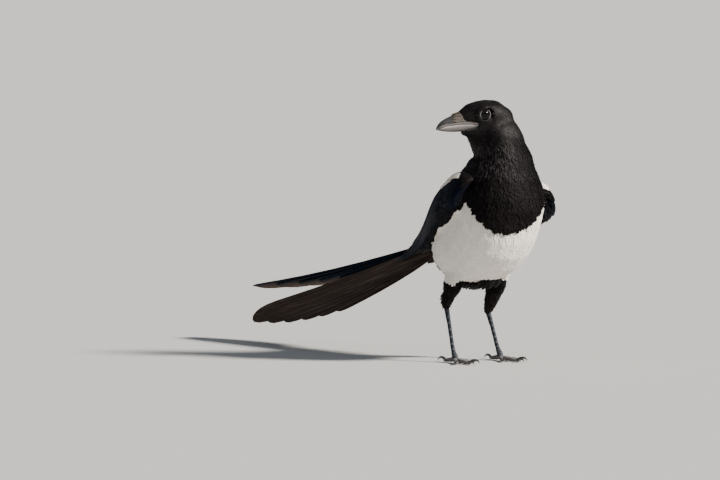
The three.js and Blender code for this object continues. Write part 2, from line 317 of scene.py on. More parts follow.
def makeDust():
    # a little dust and wear that gathers in broad soft patches
    group, given, made = newGroup(
        "dust and wear",
        [("Colour", "NodeSocketColor", (0, 0, 0, 1)), ("Dust", "NodeSocketColor", (0.3, 0.28, 0.26, 1)),
         ("Amount", "NodeSocketFloat", 0.1), ("Per metre", "NodeSocketFloat", 60.0)],
        [("Colour", "NodeSocketColor")])
    patch = group.nodes.new("ShaderNodeTexNoise")
    group.links.new(objectPlace(group), patch.inputs["Vector"])
    group.links.new(given.outputs["Per metre"], patch.inputs["Scale"])
    patch.inputs["Detail"].default_value = 4
    mask = fitRange(group, patch.outputs[0], 0.42, 0.72)
    share = mathNode(group, "MULTIPLY", mask, given.outputs["Amount"])
    mixed = mixColour(group, share, given.outputs["Colour"], given.outputs["Dust"])
    group.links.new(mixed, made.inputs["Colour"])
    return group


barbs = makeBarbs()
dust = makeDust()


def newMaterial(name, **constants):
    material = bpy.data.materials.new(name)
    material.use_nodes = True
    tree = material.node_tree
    shader = tree.nodes["Principled BSDF"]
    for key, value in constants.items():
        shader.inputs[key].default_value = value
    return material, tree, shader


def bumpInto(tree, shader, height, strength, distance):
    bump = tree.nodes.new("ShaderNodeBump")
    bump.inputs["Strength"].default_value = strength
    bump.inputs["Distance"].default_value = distance
    tree.links.new(height, bump.inputs["Height"])
    tree.links.new(bump.outputs[0], shader.inputs["Normal"])


def wornInto(tree, shader, colour, **values):
    worn = groupNode(tree, dust, **values)
    tree.links.new(colour, worn.inputs["Colour"])
    tree.links.new(worn.outputs["Colour"], shader.inputs["Base Color"])


def barbNode(tree, perMm, slant):
    barb = groupNode(tree, barbs, **{"Per mm": perMm, "Slant": slant})
    tree.links.new(mapPlace(tree, "vane"), barb.inputs["Vane"])
    return barb


def toneNode(tree):
    # red: how white, green: how blue, blue: this feather's own chance
    node = tree.nodes.new("ShaderNodeAttribute")
    node.attribute_name = "tone"
    parts = tree.nodes.new("ShaderNodeSeparateColor")
    tree.links.new(node.outputs["Color"], parts.inputs[0])
    return parts.outputs


plumageColours = {
    "black": (0.0026, 0.0016, 0.0016, 1), "blackPale": (0.022, 0.017, 0.017, 1),
    "blue": (0.002, 0.0036, 0.009, 1), "bluePale": (0.010, 0.016, 0.034, 1),
    "white": (0.86, 0.81, 0.755, 1), "whiteShade": (0.66, 0.60, 0.54, 1),
}


def plumageMaterial(name, streak, perMm, slant, specular=0.05, **changes):
    # changes: colours of its own in place of the common ones
    colour = {**plumageColours, **changes}
    material, tree, shader = newMaterial(name, **{"Roughness": 0.5, "Specular IOR Level": specular})
    tone = toneNode(tree)
    barb = barbNode(tree, perMm, slant)
    own = fitRange(tree, tone["Blue"], 0.3, 1)
    lines = mathNode(tree, "MULTIPLY", mathNode(tree, "MULTIPLY", barb.outputs["Barb"], own), streak)
    dark = mixColour(tree, lines, colour["black"], colour["blackPale"])
    blue = mixColour(tree, lines, colour["blue"], colour["bluePale"])
    deep = mixColour(tree, tone["Green"], dark, blue)
    split = fitRange(tree, tone["Blue"], 0, 1, 0.2, 0.9)
    shade = mathNode(tree, "MULTIPLY", barb.outputs["Split"], split)
    pale = mixColour(tree, shade, colour["white"], colour["whiteShade"])
    both = mixColour(tree, tone["Red"], deep, pale)
    wornInto(tree, shader, both, Amount=0.08, Dust=(0.045, 0.04, 0.036, 1))
    # white feathers are rougher and blue ones smoother
    rough = fitRange(tree, tone["Red"], 0, 1, 0.5, 0.8)
    smoother = mathNode(tree, "MULTIPLY", tone["Green"], -0.12)
    tree.links.new(mathNode(tree, "ADD", rough, smoother), shader.inputs["Roughness"])
    bumpInto(tree, shader, barb.outputs["Barb"], 0.35, 0.0002)
    return material


def flightMaterial(name, blueEdge, brown, sheen, level, rough):
    # tone red: white web, green: how far out on the outer web, blue: this feather's own chance
    material, tree, shader = newMaterial(
        name, **{"Specular IOR Level": level, "Specular Tint": sheen})
    tone = toneNode(tree)
    barb = barbNode(tree, 2.2, 1.1)
    base = mixColour(tree, fitRange(tree, tone["Green"], 0.35, 0.75), brown, blueEdge)
    lighter = mixColour(tree, 1.0, base, (4, 4, 4, 1), "MULTIPLY")
    split = fitRange(tree, tone["Blue"], 0, 1, 0.03, 0.14)
    lines = mathNode(tree, "MULTIPLY", barb.outputs["Split"], split)
    # long lighter streaks along the vanes
    grain = noise(tree, stretched(tree, mapPlace(tree, "vane"), (0.4, 0.02, 1.0)), 1.0, 4.0, 0.6)
    streak = fitRange(tree, grain, 0.44, 0.66, 0, 0.5)
    dark = mixColour(tree, mathNode(tree, "MAXIMUM", lines, streak), base, lighter)
    both = mixColour(tree, tone["Red"], dark, plumageColours["white"])
    wornInto(tree, shader, both, Amount=0.08, Dust=(0.05, 0.045, 0.04, 1))
    roughness = fitRange(tree, barb.outputs["Barb"], 0, 1, rough - 0.06, rough + 0.08)
    tree.links.new(roughness, shader.inputs["Roughness"])
    bumpInto(tree, shader, barb.outputs["Barb"], 0.3, 0.0002)
    return material


def hornMaterial(name, dark, pale, rough):
    # tone red: how pale; on the bill this pale is a painted highlight, on the claws it grows towards the tip
    material, tree, shader = newMaterial(
        name, **{"Specular IOR Level": 0.7, "Coat Weight": 0.35, "Coat Roughness": 0.22})
    grain = noise(tree, stretched(tree, mapPlace(tree, "horn"), (0.16, 4.0, 1.0)), 1.2, 5.0, 0.6)
    streaks = fitRange(tree, grain, 0.3, 0.7, 0.45, 1.0)
    share = mathNode(tree, "MULTIPLY", streaks, toneNode(tree)["Red"])
    wornInto(tree, shader, mixColour(tree, share, dark, pale), Amount=0.05, **{"Per metre": 300.0})
    roughness = fitRange(tree, grain, 0.3, 0.7, rough - 0.06, rough + 0.12)
    tree.links.new(roughness, shader.inputs["Roughness"])
    bumpInto(tree, shader, grain, 0.25, 0.0002)
    return material


def eyeMaterial():
    # tone red: share of the way from the pupil's middle to the ball's side
    material, tree, shader = newMaterial("eye", **{
        "Roughness": 0.3, "Specular IOR Level": 0.03, "Coat Weight": 0.3, "Coat Roughness": 0.03})
    away = toneNode(tree)["Red"]
    fleck = noise(tree, objectPlace(tree), 2500, 3.0)
    iris = mixColour(tree, fleck, (0.003, 0.0024, 0.0026, 1), (0.009, 0.0055, 0.0045, 1))
    inner = mixColour(tree, fitRange(tree, away, 0.42, 0.46), (0.0015, 0.0015, 0.0015, 1), iris)
    rim = mixColour(tree, fitRange(tree, away, 0.70, 0.76), inner, (0.004, 0.004, 0.004, 1))
    tree.links.new(rim, shader.inputs["Base Color"])
    return material


def scaleMaterial(name, dark, edge, warm):
    # tone red: pale edge of a scute, green: share of the warmer colour of the feet
    material, tree, shader = newMaterial(name, **{"Roughness": 0.5, "Specular IOR Level": 0.14})
    tone = toneNode(tree)
    grain = noise(tree, objectPlace(tree), 1800, 4.0)
    mottle = mathNode(tree, "MULTIPLY", tone["Green"], fitRange(tree, grain, 0.42, 0.58, 0.25, 1.0))
    base = mixColour(tree, mottle, dark, warm)
    grained = mixColour(tree, fitRange(tree, grain, 0.35, 0.75, 0, 0.12), base, edge)
    edged = mixColour(tree, mathNode(tree, "MULTIPLY", tone["Red"], 0.9), grained, edge)
    wornInto(tree, shader, edged, Amount=0.025, **{"Per metre": 400.0})
    tree.links.new(fitRange(tree, grain, 0.3, 0.7, 0.38, 0.6), shader.inputs["Roughness"])
    bumpInto(tree, shader, grain, 0.4, 0.0002)
    return material


materials = {
    # the face's lighter pale barbs are a painted sheen
    "face": plumageMaterial(
        "short face feathers", streak=0.6, perMm=3.0, slant=0.5, specular=0.14,
        blackPale=(0.032, 0.026, 0.025, 1)),
    # the throat's pale barbs are a painted sheen
    "throat": plumageMaterial(
        "throat feathers", streak=1.0, perMm=1.6, slant=5.0, specular=0.08,
        blackPale=(0.07, 0.063, 0.064, 1)),
    "body": plumageMaterial("body feathers", streak=0.45, perMm=2.2, slant=0.6),
    # the thighs' lighter brownish black and pale barbs are a painted sheen
    "thigh": plumageMaterial(
        "thigh feathers", streak=0.6, perMm=2.2, slant=0.6,
        black=(0.0055, 0.004, 0.0036, 1), blackPale=(0.06, 0.047, 0.042, 1)),
    # brownish black bristles whose pale barbs are a painted sheen
    "bristle": plumageMaterial(
        "nasal bristles", streak=1.0, perMm=2.0, slant=0.3, specular=0.3,
        black=(0.020, 0.015, 0.012, 1), blackPale=(0.20, 0.165, 0.14, 1)),
    "eye": eyeMaterial(),
    "lid": scaleMaterial(
        "eyelids", dark=(0.05, 0.05, 0.052, 1), edge=(0.28, 0.28, 0.275, 1),
        warm=(0.04, 0.03, 0.028, 1)),
    "scales": scaleMaterial(
        "leg scales", dark=(0.006, 0.009, 0.0155, 1), edge=(0.12, 0.13, 0.145, 1),
        warm=(0.34, 0.3, 0.285, 1)),
    "wing": flightMaterial(
        "wing feathers", blueEdge=(0.0022, 0.0040, 0.0105, 1), brown=(0.0022, 0.0025, 0.0036, 1),
        sheen=(0.6, 0.75, 1.0, 1), level=0.04, rough=0.5),
    "tail": flightMaterial(
        "tail feathers", blueEdge=(0.0035, 0.0072, 0.0145, 1), brown=(0.046, 0.033, 0.027, 1),
        sheen=(1.0, 0.86, 0.78, 1), level=0.006, rough=0.6),
    # the bill's pale is a painted highlight on black horn, broken into streaks along its length
    "horn": hornMaterial(
        "bill horn", dark=(0.010, 0.010, 0.012, 1), pale=(0.66, 0.58, 0.57, 1), rough=0.24),
    "claw": hornMaterial(
        "claw horn", dark=(0.012, 0.011, 0.011, 1), pale=(0.05, 0.047, 0.045, 1), rough=0.32),
}
print("materials made")


# Skin
skinSetting = {
    "voxel": 1.1, "join": 0.25, "smoothing": 60, "headDepth": 0.9, "bodyDepth": 2.6,
    "thinShare": 0.3,  # no deeper than this share of the flesh's own thickness
    "thickest": 60, "neckRounds": 50, "chinRounds": 28,
    "napeIn": (2.2, 195, 9), "napeOut": (1.5, 208.5, 5),  # depth, height and reach
}
fleshNodes = ["head", "neck", "breast", "trunk", "thigh_right", "thigh_left", "wing_right", "wing_left"]


def joinedFlesh():
    work = bmesh.new()
    for name in fleshNodes:
        work.from_mesh(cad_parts[name].data)
    bmesh.ops.remove_doubles(work, verts=work.verts, dist=1e-6)
    bmesh.ops.recalc_face_normals(work, faces=work.faces)
    for vertex in work.verts:
        vertex.co += vertex.normal * skinSetting["join"] * mm
    mesh = bpy.data.meshes.new("flesh")
    work.to_mesh(mesh)
    work.free()
    holder = bpy.data.objects.new("flesh", mesh)
    bpy.context.scene.collection.objects.link(holder)
    remesh = holder.modifiers.new("one skin", "REMESH")
    remesh.mode = "VOXEL"
    remesh.voxel_size = skinSetting["voxel"] * mm
    graph = bpy.context.evaluated_depsgraph_get()
    whole = bpy.data.meshes.new_from_object(holder.evaluated_get(graph))
    bpy.data.objects.remove(holder)
    return whole


def readMesh(mesh):
    places = np.zeros(len(mesh.vertices) * 3)
    mesh.vertices.foreach_get("co", places)
    edges = np.zeros(len(mesh.edges) * 2, np.int32)
    mesh.edges.foreach_get("vertices", edges)
    corners = np.zeros(len(mesh.loops), np.int32)
    mesh.loops.foreach_get("vertex_index", corners)
    assert len(corners) == 4 * len(mesh.polygons)
    return toBird(places.reshape(-1, 3)), edges.reshape(-1, 2), corners.reshape(-1, 4)


def averageOver(values, edges, degree):
    total = np.empty_like(values)
    for axis in range(values.shape[1]):
        total[:, axis] = np.bincount(edges[:, 0], values[edges[:, 1], axis], len(values))
        total[:, axis] += np.bincount(edges[:, 1], values[edges[:, 0], axis], len(values))
    return total / degree[:, None]


def smoothed(values, edges, rounds, weight=1.0, keepVolume=True):
    degree = np.bincount(edges.ravel(), minlength=len(values)).astype(float)
    weight = np.broadcast_to(np.reshape(weight, (-1, 1)), (len(values), 1))
    for _ in range(rounds):
        values = values + 0.5 * weight * (averageOver(values, edges, degree) - values)
        if keepVolume:
            values = values - 0.52 * weight * (averageOver(values, edges, degree) - values)
    return values


def normalsOf(places, quads):
    a, b, c, d = (places[quads[:, k]] for k in range(4))
    faceNormals = np.cross(c - a, d - b)
    total = np.zeros_like(places)
    for k in range(4):
        for axis in range(3):
            total[:, axis] += np.bincount(quads[:, k], faceNormals[:, axis], len(places))
    return unit(total)


def swell(value, size, middle, reach):
    return size * np.exp(-(((value - middle) / reach) ** 2))


def shapeSkin():
    mesh = joinedFlesh()
    places, edges, quads = readMesh(mesh)
    places = smoothed(places, edges, skinSetting["smoothing"])
    inHead = toHead(places)
    # the join of head and neck is drawn into one easy line
    collar = ramp(places[:, 2], 188, 198) * (1 - ramp(inHead[:, 2], -10, 0))
    collar = collar * (0.35 + 0.65 * ramp(inHead[:, 0], -16, 0))
    places = smoothed(places, edges, skinSetting["neckRounds"], collar, keepVolume=False)
    normals = normalsOf(places, quads)
    tree = BVHTree.FromPolygons(places.tolist(), quads.tolist())
    thickest = skinSetting["thickest"]
    thickness = np.full(len(places), float(thickest))
    for i in range(len(places)):
        start = places[i] - normals[i] * 0.05
        distance = tree.ray_cast(start.tolist(), (-normals[i]).tolist(), thickest)[3]
        if distance is not None:
            thickness[i] = distance
    headShare = ramp(places[:, 2], 190, 208)
    deep = skinSetting["bodyDepth"] * (1 - headShare) + skinSetting["headDepth"] * headShare
    legShare = 1 - ramp(places[:, 2], 48, 66)
    deep = deep * (1 - 0.65 * legShare)
    deep = np.minimum(deep, skinSetting["thinShare"] * thickness)
    deep = smoothed(deep[:, None], edges, 10, keepVolume=False)[:, 0]
    places = places - normals * deep[:, None]
    # the nape is drawn in, and the step under the back of the head is filled
    way = unit((places - np.array([37, -5.5, 0])) * (1, 1, 0))
    behind = ramp(way @ np.array([0.54, 0.84, 0]), 0.2, 0.9)
    nape = swell(places[:, 2], *skinSetting["napeIn"]) - swell(places[:, 2], *skinSetting["napeOut"])
    places = places - normals * (nape * behind)[:, None]
    places = sculptFace(places)
    # no crease is left behind the head or under the chin
    x, y, z = toHead(places).T
    hind = ramp(-x, 8, 16) * ramp(z, -24, -16) * (1 - ramp(z, 3, 9))
    under = ramp(x, 4, 9) * ramp(-z, 13.5, 17) * (1 - ramp(-z, 30, 38)) * (1 - ramp(np.abs(y), 12, 17))
    creases = np.maximum(hind, under)
    places = smoothed(places, edges, skinSetting["chinRounds"], creases, keepVolume=False)
    places = smoothed(places, edges, 4)
    return mesh, places, edges, quads


eyeSetting = {
    "forward": 5.4, "up": 0.1, "outward": 10.3, "radius": 5.8,  # the ball, in the head's own frame
    "ringRadius": 4.4, "ringOutward": 14.0, "ringThick": 0.21, "beads": 36,
    "ahead": 8,  # degrees that each eye looks ahead of straight out
    "rim": 13.6, "socket": 12.1,  # how far out the skin lies round the lids and under them
    "folds": ((7.0, 0.45, 11.2), (-7.1, 0.4, 14.3)),  # at the lids' corners: ahead, size and how far out
}
faceSetting = {  # swellings and hollows of the face: middle ahead and up, reach ahead and up
    "lore": (13, -0.5, 4.5, 3.5), "brow": (3, 6.8, 6.5, 2.0), "cheek": (-4, -9, 9, 6),
    "chin": (19, -15, 6, 5), "throat": (13, -22.5, 6, 5), "behind": (-22, 6, 7, 5.5),
}


# where the bill shows: ahead of a line that runs from the forehead back to the gape and to the chin
bareLine = (
    (-16, -14.2, -13.2, -11.4, -9.8, -8.1, -6.6, -5.3, -4.3, -2, 1, 4.7),
    (31, 28, 23.8, 13.2, 10.8, 9.6, 12.5, 17, 22.5, 23.5, 24, 25))


def bareAt(inHead):
    return ramp(inHead[:, 0] - np.interp(inHead[:, 2], *bareLine), -0.4, 1.2)


def fromEye(x, z):
    return np.hypot(x - eyeSetting["forward"], z - eyeSetting["up"])


def faceSwell(name, x, z):
    ahead, up, longReach, tallReach = faceSetting[name]
    return np.exp(-(((x - ahead) / longReach) ** 2 + ((z - up) / tallReach) ** 2))


def sculptFace(places):
    # lores drawn in, a brow over each eye, full cheeks, and a socket that the lids close
    inHead = toHead(places)
    bare = bareAt(inHead) * (places[:, 2] > 190)
    x, y, z = inHead.T
    side = np.sign(y)
    lore = faceSwell("lore", x, z) * ramp(np.abs(y), 4, 8)
    brow = faceSwell("brow", x, z) * ramp(np.abs(y), 6, 10)
    cheek = faceSwell("cheek", x, z) * ramp(np.abs(y), 6, 11)
    y = y + side * (-0.8 * lore + 0.55 * brow + 0.5 * cheek)
    chin = faceSwell("chin", x, z) * (1 - ramp(np.abs(y), 5, 10))
    throat = faceSwell("throat", x, z) * (1 - ramp(np.abs(y), 6, 15))
    behind = faceSwell("behind", x, z)
    z = z - 1.5 * chin - 0.8 * behind
    x = x + 1.2 * chin + 4.6 * throat + 2.6 * behind
    reach = fromEye(x, z)
    near = ramp(np.abs(y), 6, 9)
    slope = np.tan(np.radians(eyeSetting["ahead"])) * (x - eyeSetting["forward"])
    rim = (1 - ramp(reach, 5.5, 8.5)) * near
    y = y * (1 - rim) + side * (eyeSetting["rim"] - slope) * rim
    socket = (1 - ramp(reach, 4.0, 4.9)) * near
    y = y * (1 - socket) + side * (eyeSetting["socket"] - slope) * socket
    # the skin goes in under the bill
    y = y * (1 - 0.45 * bare)
    z = z + (-4.6 - z) * 0.4 * bare
    x = x - 1.5 * bare * ramp(x, 22, 27)
    return fromHead(np.stack([x, y, z], 1))


skinMesh, skinPlaces, skinEdges, skinQuads = shapeSkin()
skinNormals = smoothed(normalsOf(skinPlaces, skinQuads), skinEdges, 3, keepVolume=False)
skinNormals = unit(skinNormals)
skinTree = BVHTree.FromPolygons(skinPlaces.tolist(), skinQuads.tolist())
print("skin shaped:", len(skinQuads), "faces")


# Wings and markings on the skin
def surfaceTree(names):
    corners, faces = [], []
    for name in names:
        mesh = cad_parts[name].data
        places = nodePlaces(name) - standing
        faces += [[v + len(corners) for v in face.vertices] for face in mesh.polygons]
        corners += places.tolist()
    return BVHTree.FromPolygons(corners, faces)


markSetting = {
    # height of the bib's edge by degrees around the body from its front, left positive
    "bibTurn": (-180, -110, -95, -80, -66, -51, -39, -28, -18, -9, 0, 13, 25, 38, 50, 62, 80, 180),
    "bibZ": (200, 175, 157, 147, 137.5, 130.3, 124, 119, 117,
             117.4, 119.4, 124, 130.4, 137.5, 142, 146, 152, 200),
    "wingLineRise": 0.5, "wingLineStart": (44, 147), "leftDrop": 2.5,
    "flankX": (-75, -60, -27, -5, 5, 25, 40, 49), "flankZ": (65, 76, 100.5, 116, 122, 131.5, 144, 151),
    "ventStart": (3, 66), "ventSlope": 1.18, "thighTop": 74.5, "ventTall": 6.5,
    "soft": 0.4,  # mm over which the bib's edge fades
    "middle": (12, 1), "middleLean": 0.7, "middleHeight": 115,  # the line that the degrees go around
}


def flankAt(places):
    line = np.interp(places[:, 0], markSetting["flankX"], markSetting["flankZ"])
    return line - np.where(places[:, 1] > 0, 40, 0)


def findWings():
    # the share of wing at each corner of the skin: nearer to a wing's solid than to the body's
    wingTree = surfaceTree(["wing_right", "wing_left"])
    bodyTree = surfaceTree(["breast", "trunk", "neck"])
    lead = np.empty(len(skinPlaces))
    for i, place in enumerate(skinPlaces.tolist()):
        lead[i] = bodyTree.find_nearest(place)[3] - wingTree.find_nearest(place)[3]
    share = ramp(lead, -1.2, 0.8)
    share = smoothed(share[:, None], skinEdges, 3, keepVolume=False)[:, 0]
    # the flank's feathers lie over the lower edge of each wing
    above = skinPlaces[:, 2] - flankAt(skinPlaces)
    return share * ramp(above, -0.8, 0.8)


wingShare = findWings()


def wingAt(places):
    found = np.empty(len(places))
    for i, place in enumerate(places.tolist()):
        found[i] = wingShare[skinQuads[skinTree.find_nearest(place)[2]]].mean()
    return found


def turnAround(places):
    # degrees around the body, from its front, left positive
    m = markSetting
    middleX = m["middle"][0] + (places[:, 2] - m["middleHeight"]) * m["middleLean"]
    return np.degrees(np.arctan2(places[:, 1] - m["middle"][1], places[:, 0] - middleX))


def whitenessAt(places, onWing=None):
    # the markings, alike on skin and coat
    x, y, z = places.T
    m = markSetting
    angle = turnAround(places)
    ripple = 0.9 * np.sin(angle * 0.55) + 0.6 * np.sin(angle * 1.3 + 1)
    bib = np.interp(angle, m["bibTurn"], m["bibZ"]) + ripple
    wingLine = m["wingLineStart"][1] + (x - m["wingLineStart"][0]) * m["wingLineRise"]
    wingLine = wingLine - np.where(y > 0, m["leftDrop"], 0)
    edge = np.where(np.abs(angle) > 40, np.minimum(bib, wingLine), bib)
    white = 1 - ramp(z, edge - m["soft"], edge + m["soft"])
    ventEdge = m["ventStart"][0] - (z - m["ventStart"][1]) * m["ventSlope"] - 0.06 * np.abs(y)
    white *= ramp(x, ventEdge - 2, ventEdge + 2)
    # black thighs and vent, with a taller black middle behind
    low = m["thighTop"] + m["ventTall"] * (1 - ramp(np.abs(y), 9, 18)) * (1 - ramp(x, 4, 16))
    low = low + 1.6 * np.sin(x * 0.33 + y * 0.12) + 0.8 * np.sin(x * 0.8 - y * 0.4)
    white *= ramp(z, low - 1.5, low + 1.5)
    onWing = wingAt(places) if onWing is None else onWing
    return white * (1 - ramp(onWing, 0.4, 0.6))


# Lie of the plumage: the way that feathers point at chosen places, blended in between
headLie = [
    ((24, 0, 3), (-1, 0, 0.3)), ((17, 0, 8), (-1, 0, 0.4)), ((0, 0, 12), (-1, 0, 0)),
    ((-14, 0, 9), (-0.8, 0, -0.6)), ((-23, 0, 0), (-0.3, 0, -1)), ((20, 0, -13), (-0.85, 0, -0.6)),
    ((12, 0, -24), (-0.25, 0, -1)),
]
headLieBothSides = [
    ((20, 7, -1), (-1, 0.3, 0.1)), ((13, 9, -1), (-1, 0.3, 0.1)), ((4, 13, 6), (-1, 0.1, 0.1)),
    ((4, 14, -6), (-1, 0.1, -0.3)), ((-10, 15, -3), (-0.8, 0, -0.6)), ((10, 10, -12), (-0.75, 0.2, -0.7)),
    ((-4, 14, -12), (-0.55, 0, -0.8)),
]
bodyLie = [
    ((36, -32, 190), (0.05, 0.05, -1)), ((60, -5, 184), (0.2, 0, -1)), ((40, 27, 184), (0.05, 0.2, -1)),
    ((14, 0, 186), (-0.5, 0, -1)), ((74, 0, 150), (-0.05, 0, -1)), ((62, 0, 118), (-0.5, 0, -1)),
    ((35, 0, 84), (-1, 0, -0.6)), ((8, 0, 66), (-1, 0, 0)), ((-5, 0, 163), (-0.75, 0, -0.8)),
    ((-25, 0, 140), (-0.7, 0, -0.8)), ((-48, 0, 117), (-0.95, 0, -0.45)), ((-38, 0, 80), (-1, 0, 0.3)),
]
bodyLieBothSides = [
    ((42, 42, 160), (-0.35, 0.1, -1)), ((45, 38, 130), (-0.35, 0, -1)), ((20, 38, 100), (-0.6, 0, -0.9)),
    ((-14, 34, 96), (-0.85, -0.1, -0.55)), ((36, 50, 146), (-1, 0.15, -0.35)),
    ((5, 48, 136), (-1, 0, -0.45)), ((-40, 32, 112), (-1, -0.15, -0.42)),
    ((-4, 23.5, 60), (-0.35, 0, -1)), ((10, 24, 72), (-0.75, 0, -0.9)), ((10, 30, 166), (-0.9, 0.15, -0.55)),
]


def gatherLie():
    places, ways = [], []
    for middle, paired, place, way in (
        (headLie, headLieBothSides, fromHead, lambda w: np.asarray(w) @ headAxes),
        (bodyLie, bodyLieBothSides, np.asarray, np.asarray),
    ):
        mirror = np.array([1, -1, 1])
        every = [(np.array(p), np.array(w)) for p, w in [*middle, *paired]]
        every += [(np.array(p) * mirror, np.array(w) * mirror) for p, w in paired]
        places += [place(p.astype(float)) for p, _ in every]
        ways += [way(w.astype(float)) for _, w in every]
    return np.array(places), unit(ways)


liePlaces, lieWays = gatherLie()


def lieAt(places, normals):
    gap = ((places[:, None] - liePlaces[None]) ** 2).sum(-1)
    pull = 1 / (gap + 9) ** 2
    way = (pull[..., None] * lieWays[None]).sum(1)
    inHead = toHead(places)
    x, y, z = inHead.T
    # feathers part round each eye
    away = np.stack([x - eyeSetting["forward"], np.zeros_like(x), z - eyeSetting["up"]], 1)
    reach = np.linalg.norm(away, axis=1)
    away = unit(away) @ headAxes
    near = (1 - ramp(reach, 6, 10)) * ramp(np.abs(y), 6, 9)
    way = unit(way)
    inward = np.minimum((way * away).sum(1), 0)
    way = way - away * (inward * near * 1.1)[:, None]
    way = way - normals * (way * normals).sum(1, keepdims=True)
    return unit(way)


# Coat
coatSetting = {
    "face": {"length": 2.6, "wide": 0.40, "apart": 0.52, "rise": 0.5},
    "crown": {"length": 5.5, "wide": 0.30, "apart": 0.75, "rise": 0.85},
    "neck": {"length": 9.0, "wide": 0.14, "apart": 0.84, "rise": 1.4},
    "breast": {"length": 10.0, "wide": 0.2, "apart": 1.05, "rise": 1.8},
    "belly": {"length": 13.0, "wide": 0.2, "apart": 0.98, "rise": 1.15},
    "back": {"length": 13.0, "wide": 0.36, "apart": 1.5, "rise": 2.3},
    "thigh": {"length": 6.0, "wide": 0.22, "apart": 0.85, "rise": 1.1},
    "wing": {"length": 8.0, "wide": 0.5, "apart": 1.4, "rise": 2.5},
}


regionEdges = {  # where each kind of coat fades into the next: heights, but for the two on the head
    "head": (199, 207), "nape": (24, 34), "face": (-16, 14),  # the last two in mm along the head
    "neck": (160, 178), "thigh": (62, 69), "back": (92, 112), "backTurn": (85, 110),
}


def coatRegions(places, onWing):
    # how much each place belongs to each kind of coat
    inHead = toHead(places)
    z = places[:, 2]
    head = ramp(z, *regionEdges["head"]) * (1 - ramp(-inHead[:, 0], *regionEdges["nape"]))
    front = ramp(inHead[:, 0], *regionEdges["face"])
    shares = {"face": head * front, "crown": head * (1 - front)}
    rest = 1 - head
    neck = rest * ramp(z, *regionEdges["neck"])
    rest = rest - neck
    thigh = rest * (1 - ramp(z, *regionEdges["thigh"]))
    rest = rest - thigh
    wing = rest * onWing
    rest = rest - wing
    back = rest * ramp(np.abs(turnAround(places)), *regionEdges["backTurn"]) * ramp(z, *regionEdges["back"])
    rest = rest - back
    white = whitenessAt(places, onWing)
    shares.update(neck=neck, thigh=thigh, wing=wing, back=back)
    shares.update(belly=rest * white, breast=rest * (1 - white))
    return shares


def coatValue(shares, key):
    return sum(shares[kind] * coatSetting[kind][key] for kind in shares)


def unwrapSkin():
    holder = bpy.data.objects.new("unwrap", skinMesh)
    bpy.context.scene.collection.objects.link(holder)
    skinMesh.vertices.foreach_set("co", toFrame(skinPlaces).astype(np.float32).ravel())
    skinMesh.update()
    skinMesh.uv_layers.new(name="OFBake")
    bpy.context.view_layer.objects.active = holder
    holder.select_set(True)
    bpy.ops.object.mode_set(mode="EDIT")
    bpy.ops.mesh.select_all(action="SELECT")
    bpy.ops.uv.smart_project(angle_limit=1.15, island_margin=0.002)
    bpy.ops.object.mode_set(mode="OBJECT")
    bpy.data.objects.remove(holder)
    flat = np.zeros(len(skinMesh.loops) * 2)
    skinMesh.uv_layers["OFBake"].data.foreach_get("uv", flat)
    return flat.reshape(-1, 4, 2)


skinMap = unwrapSkin()
print("skin unwrapped")


rootSetting = {
    "tries": 3.0, "eyeReach": 4.7, "eyeSide": 7, "bareShare": 0.35, "bareHeight": 190,
    "wingShare": 0.9, "wingX": 10,  # long feathers cover the wings behind this
    "leftX": 36, "leftY": 38, "leftZ": 150,  # and the left one's outer side
}


def scatterRoots():
    halves = [(0, 1, 2), (0, 2, 3)]
    corners = np.concatenate([skinQuads[:, h] for h in halves])
    maps = np.concatenate([skinMap[:, h] for h in halves])
    a, b, c = (skinPlaces[corners[:, k]] for k in range(3))
    area = np.linalg.norm(np.cross(b - a, c - a), axis=1) / 2
    onWing = wingShare[corners].mean(1)
    apart = coatValue(coatRegions((a + b + c) / 3, onWing), "apart")
    # more roots than needed are tried, and each that is kept clears the ones too near to it
    own = rootSetting
    wanted = rng.poisson(area / apart**2 * own["tries"])
    chosen = np.repeat(np.arange(len(corners)), wanted)
    rng.shuffle(chosen)
    share = rng.random((len(chosen), 2))
    flip = share.sum(1) > 1
    share[flip] = 1 - share[flip]
    share = np.column_stack([1 - share.sum(1), share])
    places = (skinPlaces[corners[chosen]] * share[..., None]).sum(1)
    maps = (maps[chosen] * share[..., None]).sum(1)
    onWing = (wingShare[corners[chosen]] * share).sum(1)
    apart = apart[chosen]
    # none on the eyes, the bill and the parts of the wings that long feathers cover
    inHead = toHead(places)
    x, y, z = places.T
    free = (fromEye(inHead[:, 0], inHead[:, 2]) > own["eyeReach"]) | (np.abs(inHead[:, 1]) < own["eyeSide"])
    free &= ~((bareAt(inHead) > own["bareShare"]) & (z > own["bareHeight"]))
    wing = onWing > own["wingShare"]
    free &= ~(wing & (x < own["wingX"]))
    free &= ~(wing & (x < own["leftX"]) & (y > own["leftY"]) & (z < own["leftZ"]))
    tree = KDTree(len(places))
    for i, place in enumerate(places):
        tree.insert(place, i)
    tree.balance()
    kept = []
    for i in range(len(places)):
        if not free[i]:
            continue
        kept.append(i)
        for _, j, _ in tree.find_range(places[i], apart[i]):
            free[j] = False
    kept = np.array(kept)
    return places[kept], maps[kept], onWing[kept]


roots, rootMaps, rootOnWing = scatterRoots()
print("feather roots:", len(roots))


def onSkin(places):
    # nearest places on the skin and the skin's way out there
    found, normals = np.empty_like(places), np.empty_like(places)
    for i, place in enumerate(places.tolist()):
        near, _, face, _ = skinTree.find_nearest(place)
        found[i] = near
        normals[i] = skinNormals[skinQuads[face]].mean(0)
    return found, unit(normals)


vaneShape = {  # steps along a small feather, and its half width there as a share of the full one
    "steps": np.array([0, 0.34, 0.68, 0.91, 1.0]), "widths": np.array([0.3, 0.85, 1.0, 0.72]),
    "ridge": 0.12, "leastRidge": 0.06,  # its height at the shaft as a share of its half width, and in mm
    "patch": 0.003,  # how wide its patch of the unwrap is
    "sink": 0.45,  # mm that its root lies under the skin
    "sway": 0.13,  # how far single feathers turn out of the common lie
}


